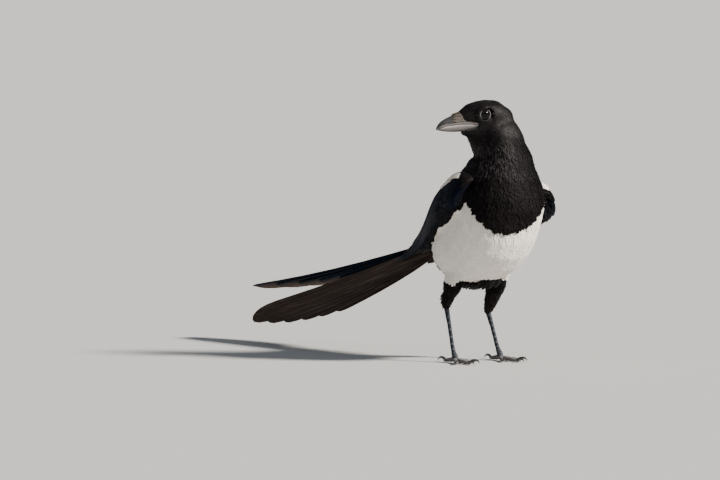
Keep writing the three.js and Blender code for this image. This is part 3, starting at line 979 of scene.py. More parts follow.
def vaneFaces(rings):
    left, top, right = (np.arange(rings) * 3 + k for k in range(3))
    tip = 3 * rings
    k = np.arange(rings - 1)
    quads = np.concatenate([
        np.stack([top[k], top[k + 1], left[k + 1], left[k]], 1),
        np.stack([right[k], right[k + 1], top[k + 1], top[k]], 1),
        np.stack([left[k], left[k + 1], right[k + 1], right[k]], 1)])
    last = rings - 1
    ends = np.array([
        [left[0], right[0], top[0]], [top[last], tip, left[last]],
        [right[last], tip, top[last]], [left[last], tip, right[last]]])
    return quads, ends


def vanesFrom(name, centres, ups, halves, lengths, maps, tones, material, slotName):
    # solid vanes: three corners to a ring (low edge, shaft, other edge) and one for the tip
    steps, widths = vaneShape["steps"], vaneShape["widths"]
    rings, count = len(widths), len(centres)
    along = unit(np.gradient(centres, axis=1))
    out = unit(np.cross(ups, along))[:, :rings]
    up = np.cross(along[:, :rings], out)
    half = (widths[None] * halves[:, None])[..., None]
    ridge = np.maximum(half * vaneShape["ridge"], vaneShape["leastRidge"])
    mid = centres[:, :rings]
    body = np.stack([mid + out * half - up * ridge * 0.5, mid + up * ridge,
                     mid - out * half - up * ridge * 0.5], 2)
    places = np.concatenate([body.reshape(count, rings * 3, 3), centres[:, rings:]], 1)
    each = rings * 3 + 1
    faceSets = [manyOf(faces, count, each) for faces in vaneFaces(rings)]
    mesh = meshFrom(name, places.reshape(-1, 3), faceSets)
    # the bake's patch lies at the root's place on the skin's own unwrap
    across = np.append(np.tile([-0.5, 0, 0.5], rings), 0)
    rise = np.append(np.repeat(steps[:rings], 3), 1)
    rise[1:rings * 3:3] -= 0.03
    patch = np.stack([across, rise - 0.5], 1) * vaneShape["patch"]
    addMap(mesh, "OFBake", (maps[:, None] + patch[None]).reshape(-1, 2))
    spread = across * 2 * np.append(np.repeat(widths, 3), 0)
    shift = (np.arange(count) * 7.31 % 97)[:, None]
    vane = np.stack([spread[None] * halves[:, None], rise[None] * lengths[:, None] + shift], -1)
    addMap(mesh, "vane", vane.reshape(-1, 2))
    mesh.uv_layers["OFBake"].active_render = True
    addTone(mesh, np.repeat(tones, each, 0))
    rim = np.append(np.tile([True, False, True], rings), True)
    markSharp(mesh, np.tile(rim, count))
    return addPiece(name, mesh, material, slotName)


def growCoat(name, roots, maps, lengths, halves, rises, tones, material, slotName):
    # small feathers that follow the skin from their roots, each over the ones behind it
    steps, sink = vaneShape["steps"], vaneShape["sink"]
    places, normals = onSkin(roots)
    sway = rng.normal(0, vaneShape["sway"], len(roots))[:, None]
    centres, ups = [], []
    for k, step in enumerate(steps):
        if k:
            way = lieAt(places, normals)
            way = unit(way + np.cross(normals, way) * sway)
            places, normals = onSkin(places + way * ((step - steps[k - 1]) * lengths)[:, None])
        height = (rises + sink) * step**0.8 - sink
        centres.append(places + normals * height[:, None])
        ups.append(normals)
    centres, ups = np.stack(centres, 1), np.stack(ups, 1)
    return vanesFrom(name, centres, ups, halves, lengths, maps, tones, material, slotName)


holdSetting = {
    "heights": (96, 185), "tries": 9, "leastShare": 0.1, "past": 1.1, "least": 2.2,
    # white feathers that come out from under the dark ones: how near, their share, and how far past
    "underNear": 6.5, "underShare": 0.4, "underPast": (5, 9),
}


def heldToMarkings(roots, ways, lengths, dark):
    # dark feathers stop just past the edge of their marking, so that it stays clean
    own = holdSetting
    near = dark & (roots[:, 2] > own["heights"][0]) & (roots[:, 2] < own["heights"][1])
    full, count = lengths[near], near.sum()
    reach = full
    for share in np.linspace(1, own["leastShare"], own["tries"]):
        at = roots[near] + ways[near] * (full * share)[:, None]
        reach = np.where(whitenessAt(at) > 0.5, full * share, reach)
    under = (reach < np.minimum(full * 0.95, own["underNear"])) & (rng.random(count) < own["underShare"])
    held, isUnder = lengths.copy(), np.zeros(len(roots), bool)
    stopped = np.maximum(np.minimum(full, reach + rng.uniform(0, own["past"], count)), own["least"])
    held[near] = np.where(under, reach + rng.uniform(*own["underPast"], count), stopped)
    isUnder[near] = under
    return held, isUnder


coatTrim = {
    "underRise": 0.5, "underHalf": 1.1,  # white feathers that come out from under dark ones
    # white feathers by the folded wing: least mm out, mm below its edge, least length and rise
    "wingOut": 24, "wingReach": 13, "wingLength": 0.3, "wingRise": 0.2,
    # the long dark feathers that hang at the vent
    "hungLength": 13, "hungRise": 3, "hungLoose": 4.5, "hungHalf": 1.2,
    "thighRise": 3.2, "heelLength": 4.5, "eyeLength": 0.6, "eyeRise": 0.2,
}


def coatPieces():
    x, y, z = roots.T
    trim = coatTrim
    shares = coatRegions(roots, rootOnWing)
    _, rootNormals = onSkin(roots)
    jitter = rng.random((len(roots), 4))
    lengths = coatValue(shares, "length") * (0.82 + 0.36 * jitter[:, 0])
    halves = lengths * coatValue(shares, "wide") / 2 * (0.85 + 0.3 * jitter[:, 1])
    rises = coatValue(shares, "rise") * (0.75 + 0.5 * jitter[:, 2])
    ways = lieAt(roots, rootNormals)
    white = whitenessAt(roots, rootOnWing) > 0.5
    lengths, under = heldToMarkings(roots, ways, lengths, ~white)
    rises = np.where(under, rises * trim["underRise"], rises)
    rises = np.where(white, coatValue(shares, "rise") * (0.9 + 0.2 * jitter[:, 2]), rises)
    halves = np.where(under, trim["underHalf"], halves)
    # white feathers are shorter at the thighs and over the vent
    lengths = lengths * np.where(white, 1 - 0.45 * (1 - ramp(z, 76, 92)), 1)
    # and where they meet the folded wing, so that its lower edge stays clean
    below = flankAt(roots) - z
    byWing = white & (np.abs(y) > trim["wingOut"]) & (below < trim["wingReach"])
    away = ramp(below, 2, trim["wingReach"])
    lengths = np.where(byWing, lengths * (trim["wingLength"] + (1 - trim["wingLength"]) * away), lengths)
    rises = np.where(byWing, rises * (trim["wingRise"] + (1 - trim["wingRise"]) * away), rises)
    hung = ~white & (z < 82) & (z > 62) & (np.abs(y) < 14) & (x > -18)
    lengths = np.where(hung, trim["hungLength"] * (0.8 + 0.4 * jitter[:, 0]), lengths)
    rises = np.where(hung, trim["hungRise"] + trim["hungLoose"] * jitter[:, 2], rises)
    halves = np.where(hung, trim["hungHalf"], halves)
    # full thighs: round behind and outside, and long over the left heel
    thick = swell(z, shares["thigh"], 60, 7)
    outside = ramp(rootNormals @ np.array([-0.54, -0.84, 0]), 0, 0.8) * (y < 0)
    rises = rises + trim["thighRise"] * thick * outside
    lengths = lengths + trim["heelLength"] * (shares["thigh"] * (y > 0) * (1 - ramp(z, 46, 54)))
    # flat and short round the eyes
    inHead = toHead(roots)
    byEye = 1 - ramp(fromEye(inHead[:, 0], inHead[:, 2]), 5, 9.5)
    lengths = lengths * (1 - (1 - trim["eyeLength"]) * byEye)
    rises = rises * (1 - (1 - trim["eyeRise"]) * byEye)
    gloss = np.clip(0.06 + 0.4 * rootOnWing, 0, 1)
    white |= under
    # single pale streaks, a painted sheen, show on the throat's side towards the front and right and fade
    # away towards the breast
    inFront = unit((roots - np.array([38, -3, 0])) * (1, 1, 0)) @ np.array([0.45, -0.89, 0])
    throatSheen = ramp(z, 160, 182) * (1 - ramp(z, 194, 204)) * ramp(inFront, 0.2, 0.75)
    streaked = jitter[:, 3] * np.where(white | (shares["neck"] < 0.05), 1, 0.35 + 0.65 * throatSheen)
    tones = np.stack([white.astype(float), gloss, streaked], 1)
    left = inHead[:, 1] > 0
    head = shares["face"] + shares["crown"] > 0.5
    neck = shares["neck"] > 0.5
    thigh = shares["thigh"] > 0.5
    wing = shares["wing"] > 0.5
    back = shares["back"] > 0.5
    rest = ~(head | neck | thigh | wing | back)
    leftBody = y > 0
    parts = {
        "coat_head_left": (head & left, "face", "black_plumage"),
        "coat_head_right": (head & ~left, "face", "black_plumage"),
        "coat_neck": (neck, "throat", "black_plumage"),
        "coat_thighs": (thigh, "thigh", "black_plumage"),
        "coat_wings": (wing, "body", "flight_feather"),
        "coat_back": (back, "body", "black_plumage"),
        "coat_breast": (rest & ~white, "body", "black_plumage"),
        "coat_belly_right": (rest & white & ~leftBody, "body", "white_plumage"),
        "coat_belly_left": (rest & white & leftBody, "body", "white_plumage"),
    }
    for name, (mine, finish, slotName) in parts.items():
        growCoat(name, roots[mine], rootMaps[mine], lengths[mine], halves[mine], rises[mine], tones[mine],
                 materials[finish], slotName)
        print(name, int(mine.sum()), "feathers")


coatPieces()


def finishSkin():
    mesh = skinMesh
    mesh.name = "skin"
    white = whitenessAt(skinPlaces, wingShare)
    addTone(mesh, np.stack([white, wingShare, np.full(len(white), 0.5)], 1))
    mesh.shade_smooth()
    material, tree, shader = newMaterial("skin", **{"Roughness": 0.7, "Specular IOR Level": 0.25})
    pores = noise(tree, objectPlace(tree), 1500)
    dark = mixColour(tree, pores, (0.005, 0.004, 0.004, 1), (0.009, 0.008, 0.008, 1))
    pale = mixColour(tree, pores, (0.46, 0.44, 0.41, 1), (0.55, 0.53, 0.49, 1))
    wornInto(tree, shader, mixColour(tree, toneNode(tree)["Red"], dark, pale), Amount=0.05)
    bumpInto(tree, shader, pores, 0.3, 0.0002)
    return addPiece("skin", mesh, material, "black_plumage", *fleshNodes)


finishSkin()
print("coat grown")


# Long feathers: thin curved blades with a raised shaft
bladeShape = {
    "across": np.array([-1, -0.5, -0.09, 0, 0.09, 0.5, 1]),
    "shaft": np.array([0, 0, 0.02, 0.22, 0.02, 0, 0]), "thick": 0.3,
    "order": [0, 1, 2, 3, 4, 5, 6, 6, 3, 0],  # the upper face's corners round a whole ring
    "tuck": 0.03,  # how much narrower the lower face is
}


def tubes(sections):
    # closed tubes from count x rings x around x 3 places
    count, rings, around = sections.shape[:3]
    each = rings * around + 2
    step = np.arange(around)
    ahead = (step + 1) % around
    base = (rings - 1) * around
    caps = np.concatenate([
        np.stack([np.full(around, each - 2), ahead, step], 1),
        np.stack([np.full(around, each - 1), base + step, base + ahead], 1)])
    faceSets = [manyOf(faces, count, each) for faces in (ringFaces(rings, around), caps)]
    return withEnds(sections), faceSets


def withEnds(values):
    # adds the value at the middle of each tube's two ends
    ends = values[:, [0, -1]].mean(2)
    body = values.reshape(len(values), -1, values.shape[-1])
    return np.concatenate([body, ends], 1).reshape(-1, values.shape[-1])


def tubePiece(name, sections, tones, material, slotName, *nodes, **maps):
    # closed tubes in one piece, with tones and maps for the same corners
    places, faceSets = tubes(sections)
    mesh = turnedOut(meshFrom(name, places, faceSets))
    for mapName, values in maps.items():
        addMap(mesh, mapName, withEnds(values))
    addTone(mesh, withEnds(tones))
    return addPiece(name, mesh, material, slotName, *nodes)


def bladesFrom(name, tops, ups, acrossMm, alongMm, tones, material, slotName, *nodes):
    # tops: blades x rings x 7 x 3 places on the upper face; ups: blades x rings x 3
    low = tops[:, :, [6, 3, 0]] - ups[:, :, None] * bladeShape["thick"]
    low[:, :, [0, 2]] += (low[:, :, [1]] - low[:, :, [0, 2]]) * bladeShape["tuck"]
    order = bladeShape["order"]
    across = acrossMm[:, :, order]
    shift = (np.arange(len(tops)) * 13.7 % 89)[:, None, None]
    along = np.broadcast_to((alongMm + shift[..., 0])[..., None], across.shape)
    piece = tubePiece(
        name, np.concatenate([tops, low], 2), tones if tones.shape[2] == len(order) else tones[:, :, order],
        material, slotName, *nodes, vane=np.stack([across, along], -1))
    rim = np.zeros((*across.shape, 1))
    rim[:, :, [0, 6]] = 1
    markSharp(piece.data, withEnds(rim)[:, 0] > 0.9)
    return piece


def throughPoints(points, shares):
    # a smooth line through points, where a share of 0 to 1 runs over its whole length
    points = np.asarray(points, float)
    count = len(points) - 1
    place = np.clip(shares, 0, 1) * count
    k = np.minimum(place.astype(int), count - 1)
    t = (place - k)[..., None]
    padded = np.concatenate([2 * points[:1] - points[1:2], points, 2 * points[-1:] - points[-2:-1]])
    a, b, c, d = (padded[k + n] for n in range(4))
    return b + 0.5 * t * (c - a + t * (2 * a - 5 * b + 4 * c - d + t * (3 * (b - c) + d - a)))


wingSetting = {
    "right": {"forward": -10.5, "out": -1.5, "rise": 3.5, "hug": 5},
    "left": {"forward": -1, "out": 1, "rise": -9, "hug": 1},
    "lean": 28, "fullness": 2.6, "turnLimits": (-60, 125),
    # places along the folded wing's middle, its half thickness and its half height
    "stations": [
        (49, 36.5, 144, 8, 10), (44, 38, 145, 11.5, 15.5), (32, 39, 144.5, 12.3, 18.5),
        (16, 38, 139.5, 12.3, 20), (-3, 36, 130, 12, 20), (-23, 32, 118, 10, 17.5),
        (-43, 27, 107, 7.5, 14), (-65, 22, 97, 5, 10), (-87, 19, 87.5, 3, 6.5), (-106, 17, 79.5, 1.2, 3),
    ],
}


# rows of feathers over the shoulders: count, first and last root, first and last tip, half width and lift
wingSetting["right"]["white"] = [
    (6, ((0.22, 47), (0.22, 100)), ((0.37, 38), (0.44, 80)), 5.4, 0.9, 0.1),
    (7, ((0.15, 50), (0.15, 104)), ((0.31, 43), (0.38, 86)), 5.2, 1.8, 0.1),
    (7, ((0.09, 52), (0.09, 108)), ((0.25, 46), (0.33, 90)), 4.8, 2.6, 0.1)]
wingSetting["right"]["shoulder"] = [
    (8, ((0.02, 34), (0.10, 114)), ((0.14, 42), (0.28, 106)), 4.6, 3.0, 0.08),
    (8, ((0.0, 30), (0.03, 116)), ((0.08, 36), (0.19, 108)), 4.2, 3.4, 0.08)]
wingSetting["left"]["white"] = [
    (6, ((0.20, 62), (0.24, 104)), ((0.40, 56), (0.46, 84)), 5.2, 1.0, 0.1),
    (6, ((0.13, 60), (0.17, 106)), ((0.30, 60), (0.38, 88)), 4.8, 2.0, 0.1),
    (6, ((0.07, 58), (0.10, 108)), ((0.20, 62), (0.30, 94)), 4.2, 3.2, 0.1)]
wingSetting["left"]["shoulder"] = [
    (8, ((0.01, 26), (0.05, 112)), ((0.12, 36), (0.17, 108)), 4.4, 1.7, 0.08),
    (8, ((0.0, 30), (0.01, 116)), ((0.06, 34), (0.10, 108)), 4.0, 2.1, 0.08)]


def wingLine(side):
    own = wingSetting[side]
    table = np.array(wingSetting["stations"], float)
    share = 1 - np.arange(len(table)) / (len(table) - 1)
    table[:, 0] += share**2 * own["forward"]
    table[:, 1] = sides[side] * (table[:, 1] + share * own["out"] - own["hug"] * np.sin(share * np.pi))
    table[:, 2] += share * own["rise"]
    return table


wingLines = {side: wingLine(side) for side in sides}


def wingSurface(side, along, turn, lift):
    # a place on the folded wing: share of its length, degrees up from its outer side, mm above it
    line = wingLines[side]
    here = throughPoints(line, along)
    ahead = throughPoints(line, along + 0.02) - throughPoints(line, along - 0.02)
    forward = unit(ahead[..., :3])
    lean = np.radians(wingSetting["lean"])
    outward = np.array([0, sides[side] * np.cos(lean), np.sin(lean)])
    up = unit(np.cross(forward, outward)) * -sides[side]
    out = unit(outward - forward * (forward @ outward)[..., None])
    angle = np.radians(turn)
    power = 2 / wingSetting["fullness"]
    flat = np.sign(np.cos(angle)) * np.abs(np.cos(angle)) ** power
    tall = np.sign(np.sin(angle)) * np.abs(np.sin(angle)) ** power
    lift = lift * np.clip(here[..., 3] / 9, 0.3, 1)
    return (here[..., :3] + out * (flat * (here[..., 3] + lift))[..., None]
            + up * (tall * (here[..., 4] + lift))[..., None])


longSteps = np.array([0, 0.12, 0.3, 0.5, 0.68, 0.82, 0.91, 0.96, 0.985, 1])
longWidths = np.array([0.35, 0.75, 0.97, 1, 1, 0.95, 0.82, 0.62, 0.4, 0.12])


def wingBlades(name, side, rows, material, slotName, white=0.0, web=1.0):
    # each row: root (share along, degrees), tip (share along, degrees), half width and lift in mm
    rows = np.array(rows, float)
    rootAlong, rootTurn, tipAlong, tipTurn, half, lift = (rows[:, [k]] for k in range(6))
    along = rootAlong + (tipAlong - rootAlong) * longSteps
    turn = rootTurn + (tipTurn - rootTurn) * longSteps
    high = throughPoints(wingLines[side], along)[..., 4]
    width = np.minimum(half * longWidths, high * 1.1 * longWidths)
    gap = wingSurface(side, along, turn + 4, 0) - wingSurface(side, along, turn - 4, 0)
    perDegree = np.maximum(np.linalg.norm(gap, axis=-1) / 8, 0.12)
    f = bladeShape["across"]
    turns = np.clip(turn[..., None] + f * (width / perDegree)[..., None], *wingSetting["turnLimits"])
    rise = lift[..., None] + bladeShape["shaft"] * 0.8 - 0.15 * f**2
    # the root lies under the feathers ahead of it, and the tip a little closer than the rest
    rise = rise - (1.5 * (1 - ramp(longSteps, 0, 0.3)) + 0.35 * ramp(longSteps, 0.7, 1))[None, :, None]
    tops = wingSurface(side, np.broadcast_to(along[..., None], turns.shape), turns, rise)
    ups = unit(wingSurface(side, along, turn, lift + 3) - wingSurface(side, along, turn, lift))
    length = np.linalg.norm(tops[:, -1, 3] - tops[:, 0, 3], axis=-1)
    acrossMm = f * width[..., None]
    alongMm = length[:, None] * longSteps
    tones = np.empty((*turns.shape, 3))
    tones[..., 0] = white
    tones[..., 1] = (0.5 - 0.45 * f) * web
    tones[..., 2] = rng.random((len(rows), 1, 1))
    return bladesFrom(name, tops, ups, acrossMm, alongMm, tones, material, slotName)


def spreadRow(count, starts, ends, half, liftFrom, liftStep, loose=0.004):
    # feathers from the first to the last of a row, the later ones higher or lower by a step
    rows = []
    for n in range(count):
        s = n / max(count - 1, 1)
        root = [a + (b - a) * s for a, b in zip(starts[0], starts[1])]
        tip = [a + (b - a) * s for a, b in zip(ends[0], ends[1])]
        rows.append([root[0], root[1], tip[0] + rng.normal(0, loose), tip[1] + rng.normal(0, 1.0),
                     half * rng.uniform(0.92, 1.06), liftFrom + liftStep * n])
    return rows


def wingPieces(side):
    # the rows of flight feathers and coverts from below upward and from the tips forward
    flight = (
        spreadRow(7, ((0.3, -56), (0.3, -26)), ((0.84, -60), (0.78, 0)), 5.5, -1.7, 0.1)
        + [[0.3, -45, 0.88, -25, 5.5, -1.6], [0.3, -40, 0.91, -10, 5.5, -1.5]]
        + spreadRow(8, ((0.28, -52), (0.33, 48)), ((0.60, -56), (0.80, 12)), 7.5, -1.0, 0.1)
        + spreadRow(3, ((0.28, 48), (0.28, 68)), ((0.72, 26), (0.54, 50)), 8.5, -0.2, 0.15))
    wingBlades(f"flight_feathers_{side}", side, flight, materials["wing"], "flight_feather")
    coverts = (
        spreadRow(4, ((0.12, -58), (0.16, -46)), ((0.34, -60), (0.44, -52)), 3.6, -0.8, 0.1)
        + spreadRow(10, ((0.14, -54), (0.26, 60)), ((0.38, -54), (0.47, 52)), 6.0, -0.6, 0.05)
        + spreadRow(11, ((0.1, -52), (0.18, 60)), ((0.27, -54), (0.34, 50)), 5.0, -0.1, 0.03)
        + spreadRow(12, ((0.05, -54), (0.11, 62)), ((0.18, -56), (0.25, 52)), 4.4, 0.1, 0.02)
        + spreadRow(11, ((0.0, -54), (0.03, 60)), ((0.10, -56), (0.15, 56)), 4.0, 0.3, 0.02))
    wingBlades(f"wing_coverts_{side}", side, coverts, materials["wing"], "flight_feather")
    scapulars, shoulder = [], []
    for row in wingSetting[side]["white"]:
        scapulars += spreadRow(*row)
    for row in wingSetting[side]["shoulder"]:
        shoulder += spreadRow(*row)
    wingBlades(f"scapulars_{side}", side, scapulars, materials["body"], "white_plumage", 1.0, 0.1)
    wingBlades(f"shoulder_feathers_{side}", side, shoulder, materials["body"], "black_plumage", 0.0, 0.15)


for side in sides:
    wingPieces(side)
print("wings made")


# Tail: twelve feathers in two halves, the middle pair on top and longest
tailSetting = {
    "root": (-52, -2, 107), "turn": 11, "width": 27, "sag": 4.5, "apart": 0.42,
    "web": 13.2, "webLess": 0.6,  # half width, and how much less the outer web of each next feather has
    "below": 0.9, "arch": 1.1,  # how far each next feather lies lower, and how much its webs bend down
    "gradation": [1, 0.905, 0.81, 0.715, 0.62, 0.53],
    "first": 1.5,
    "right": {"length": 243, "droop": 16.7, "roll": 46, "step": 1.8, "blue": (0.2, 0.22, 0)},
    "left": {"length": 264, "droop": 12.4, "roll": 11, "step": 1.5, "blue": (0.42, -0.4, 0.8)},
    "steps": np.array([0, 0.1, 0.25, 0.4, 0.55, 0.7, 0.82, 0.9, 0.95, 0.98, 0.995, 1]),
    "widths": np.array([0.3, 0.62, 0.85, 0.95, 1, 1, 0.99, 0.95, 0.84, 0.64, 0.4, 0.12]),
}


def turnedAbout(axis, degrees):
    c, s = np.cos(np.radians(degrees)), np.sin(np.radians(degrees))
    return {"x": np.array([[1, 0, 0], [0, c, -s], [0, s, c]]),
            "y": np.array([[c, 0, s], [0, 1, 0], [-s, 0, c]]),
            "z": np.array([[c, -s, 0], [s, c, 0], [0, 0, 1]])}[axis]


def tailPiece(side):
    own, sign = tailSetting[side], sides[side]
    t, widths = tailSetting["steps"], tailSetting["widths"]
    f = bladeShape["across"]
    whole = turnedAbout("z", tailSetting["turn"]) @ turnedAbout("y", -own["droop"])
    whole = whole @ turnedAbout("x", -sign * own["roll"])
    feathers = []
    for n, share in enumerate(tailSetting["gradation"]):
        length = own["length"] * share - 1
        spread = turnedAbout("z", -sign * (tailSetting["first"] + n * own["step"] + rng.normal(0, 0.15)))
        # the outer web is narrower on the outer feathers
        web = np.where(f * sign > 0, tailSetting["web"] - tailSetting["webLess"] * n, tailSetting["web"])
        tilt = rng.normal(0, 0.02)
        x = np.broadcast_to(-length * t[:, None], (len(t), 7))
        y = f * web * widths[:, None]
        z = -tailSetting["below"] * n + bladeShape["shaft"] * (1.3 - t[:, None])
        z = z - tailSetting["arch"] * f**2 * widths[:, None] + tilt * y
        local = np.stack([x, y, z], -1) @ spread.T
        local[..., 1] += sign * tailSetting["width"] * tailSetting["apart"]
        world = local @ whole.T + np.array(tailSetting["root"])
        away = length * t / 250
        world[..., 2] -= (tailSetting["sag"] * 4 * away * (1 - away))[:, None]
        # the last number is the least share of blue on the upper face
        blue, gain, upper = own["blue"]
        # the blue that rises towards one edge of each feather is a painted sky reflection; the least blue of
        # the upper face is the tail's own gloss
        shade = np.clip(blue + gain * f[bladeShape["order"]] * sign, 0, 1)
        shade[:7] = np.maximum(shade[:7], upper)
        shade = np.broadcast_to(shade, (len(t), 10))
        tones = np.stack([0 * shade, shade, np.full_like(shade, rng.random())], -1)
        feathers.append((world, np.broadcast_to(whole[:, 2], (len(t), 3)), y, length * t, tones))
    return bladesFrom(f"tail_feathers_{side}", *(np.array(v) for v in zip(*feathers)),
                      materials["tail"], "flight_feather", f"tail_{side}")


for side in sides:
    tailPiece(side)
print("tail made")


# Bill, in the head's own frame: heights of ridge, cutting edge and keel along it
billSetting = {
    "ridge": ((8, 15, 24, 31, 36, 41.2, 44.5, 46.5, 47.3),
              (5.0, 4.6, 3.2, 1.5, 0.1, -2.0, -4.3, -6.8, -9.2)),
    "edge": ((9, 12, 15, 24, 36, 42, 45.5, 47.3), (-8.3, -7.6, -7.1, -6.7, -6.9, -7.6, -8.9, -9.9)),
    "keel": ((9, 14, 24, 32, 38, 43, 45.5), (-12.2, -13.2, -13.4, -12.8, -11.8, -10.6, -9.9)),
    "half": ((8, 12, 15, 18, 24, 31, 38, 43, 46, 47.3),
             (10.4, 9.4, 8.5, 7.5, 6.0, 4.7, 3.3, 2.0, 0.9, 0.35)),
    "gap": 0.22, "rings": 60, "around": 32, "start": 8.5, "upperEnd": 47.2, "lowerEnd": 45.4,
    "ease": {"edge": 3, "ridge": 2, "keel": 3, "half": 2},  # steps either way
}


def billAt(kind, x):
    return np.interp(x, *billSetting[kind])


def easedBill(kind, x):
    reach = billSetting["ease"][kind]
    count = 2 * reach + 1
    return np.convolve(np.pad(billAt(kind, x), reach, "edge"), np.ones(count) / count, "valid")


def billHalf(name, isUpper, node):
    b = billSetting
    end = b["upperEnd"] if isUpper else b["lowerEnd"]
    x = b["start"] + (end - b["start"]) * np.sin(np.linspace(0, np.pi / 2, b["rings"]))
    edge, half = easedBill("edge", x), easedBill("half", x)
    if not isUpper:
        half = half * 0.93 * np.sqrt(np.clip((45.9 - x) / 8, 0.02, 1)) ** 0.6
    angle = ringTurns(b["around"])
    c, s = np.cos(angle), np.sin(angle)
    far = easedBill("ridge" if isUpper else "keel", x)
    base = edge + (b["gap"] / 2 if isUpper else -b["gap"] / 2)
    full = np.abs(s) ** 0.9
    tall = np.where((s > 0) == isUpper, full, 0.07 * np.abs(s))
    y = half[:, None] * np.sign(c) * np.abs(c) ** 0.92
    z = base[:, None] + (far - base)[:, None] * tall
    x = np.broadcast_to(x[:, None], y.shape)
    sections = fromHead(np.stack([x, y, z], -1))[None]
    around = np.broadcast_to(angle / 6.2832 * 12, y.shape)
    # a painted highlight: pale along the cutting edge, and dark towards the tip
    edgeHighlight = 1 - ramp(np.abs(z - edge[:, None]), 0.5, 1.9)
    pale = 0.03 + 0.8 * edgeHighlight if isUpper else 0.2 + 0.65 * edgeHighlight
    pale = pale * (1 - 0.85 * ramp(x, 39, 45))
    tones = np.stack([pale, 0 * pale, 0 * pale + 0.5], -1)[None]
    return tubePiece(name, sections, tones, materials["horn"], "horn", node,
                     horn=np.stack([x, around], -1)[None])


billHalf("bill_above", True, "bill_upper")
billHalf("bill_below", False, "bill_lower")


bristleSetting = {  # places and sizes in the head's own frame
    "count": 620, "start": (18.0, 25.0), "height": (-4.0, 4.4), "length": (4.5, 8.5),
    "drop": (-0.30, -0.08), "half": 0.26,
}


def bristlePieces():
    # stiff bristles that lie forward over the nostrils
    own, count = bristleSetting, bristleSetting["count"]
    sign = rng.choice([-1, 1], count)
    start = rng.uniform(*own["start"], count)
    height = rng.uniform(*own["height"], count)
    height = np.minimum(height, billAt("ridge", start) - 0.2)
    lengths = rng.uniform(*own["length"], count)
    drop = rng.uniform(*own["drop"], count) * (1 - 0.75 * ramp(-height, 1, 4))
    centres, ups = [], []
    for step in vaneShape["steps"]:
        x = start + lengths * step
        z = height + lengths * step * drop
        ridge, edge, half = billAt("ridge", x), billAt("edge", x), billAt("half", x)
        up = np.clip((z - edge) / (ridge - edge), 0, 0.985)
        side = half * np.sqrt(1 - up**2)
        lift = 0.15 + 0.55 * np.sin(step * np.pi * 0.85)
        out = np.stack([0 * x, side / half, up * 0.9], -1)
        out = unit(out) * np.stack([0 * x, sign, 0 * x + 1], -1)
        centres.append(fromHead(np.stack([x, sign * side, z], -1) + out * lift))
        ups.append(out @ headAxes)
    centres, ups = np.stack(centres, 1), np.stack(ups, 1)
    base, _ = onSkin(centres[:, 0])
    near = KDTree(len(roots))
    for i, place in enumerate(roots):
        near.insert(place, i)
    near.balance()
    maps = np.array([rootMaps[near.find(place)[1]] for place in base])
    tones = np.stack([np.zeros(count), np.zeros(count), rng.random(count)], 1)
    vanesFrom("nasal_bristles", centres, ups, np.full(count, own["half"]), lengths, maps, tones,
              materials["bristle"], "black_plumage")


bristlePieces()
print("bill made")


# Eyes
def lookingAhead(x, y, z, sign):
    # turned about the ball's middle, from straight out to a little forward
    e, turn = eyeSetting, np.radians(eyeSetting["ahead"])
    ahead, out = x - e["forward"], y - e["outward"]
    x = e["forward"] - 3.8 * np.sin(turn) + ahead * np.cos(turn) + out * np.sin(turn)
    y = e["outward"] + out * np.cos(turn) - ahead * np.sin(turn)
    return fromHead(np.stack([x, sign * y, z], -1))


def eyeball(side):
    e = eyeSetting
    polar = np.radians(np.concatenate([np.linspace(2, 60, 34), np.linspace(66, 170, 8)]))[:, None]
    turn = ringTurns(48)
    wide = e["radius"] * np.sin(polar)
    x = e["forward"] + wide * np.cos(turn)
    z = e["up"] + wide * np.sin(turn)
    y = np.broadcast_to(e["outward"] + e["radius"] * np.cos(polar), x.shape)
    share = np.broadcast_to(wide / e["radius"], x.shape)
    tubePiece(f"eyeball_{side}", lookingAhead(x, y, z, sides[side])[None],
              np.stack([share, 0 * x, 0 * x], -1)[None], materials["eye"], "eye", f"eye_{side}")


def eyelids(side):
    # the beaded edge of the lids
    e = eyeSetting
    ringTurn, tubeTurn = ringTurns(180)[:, None], ringTurns(10)
    thick = e["ringThick"] * (1 + 0.2 * np.cos(ringTurn * e["beads"]))
    reach = e["ringRadius"] * (1 + 0.05 * np.cos(2 * ringTurn)) + thick * np.cos(tubeTurn)
    x = e["forward"] + reach * np.cos(ringTurn)
    z = e["up"] + reach * np.sin(ringTurn) * 0.97
    y = e["ringOutward"] + thick * 0.8 * np.sin(tubeTurn)
    loop = lookingAhead(x, y, z, sides[side]).reshape(-1, 3)
    faces = ringFaces(len(ringTurn), len(tubeTurn), closed=True)
    mesh = turnedOut(meshFrom(f"eyelids_{side}", loop, [faces]))
    addTone(mesh, np.tile([0.9, 0.0, 0.5], (len(loop), 1)))
    addPiece(f"eyelids_{side}", mesh, materials["lid"], "scales")


def lidCorners(side):
    # small folds at both corners of the lids
    e = eyeSetting
    polar, turn = np.linspace(0.15, np.pi - 0.15, 9)[:, None], ringTurns(14)
    folds = []
    for ahead, size, outward in e["folds"]:
        x = e["forward"] + ahead + 1.5 * size * np.cos(polar) + 0 * turn
        z = e["up"] + 0.2 + 0.8 * size * np.sin(polar) * np.cos(turn)
        y = sides[side] * (outward + size * np.sin(polar) * np.sin(turn))
        folds.append(fromHead(np.stack([x, y, z], -1)))
    folds = np.array(folds)
    tones = np.broadcast_to([0.1, 1.0, 0.5], folds.shape)
    tubePiece(f"lid_corners_{side}", folds, tones, materials["lid"], "scales")


for side in sides:
    eyeball(side)
    eyelids(side)
    lidCorners(side)
print("eyes made")


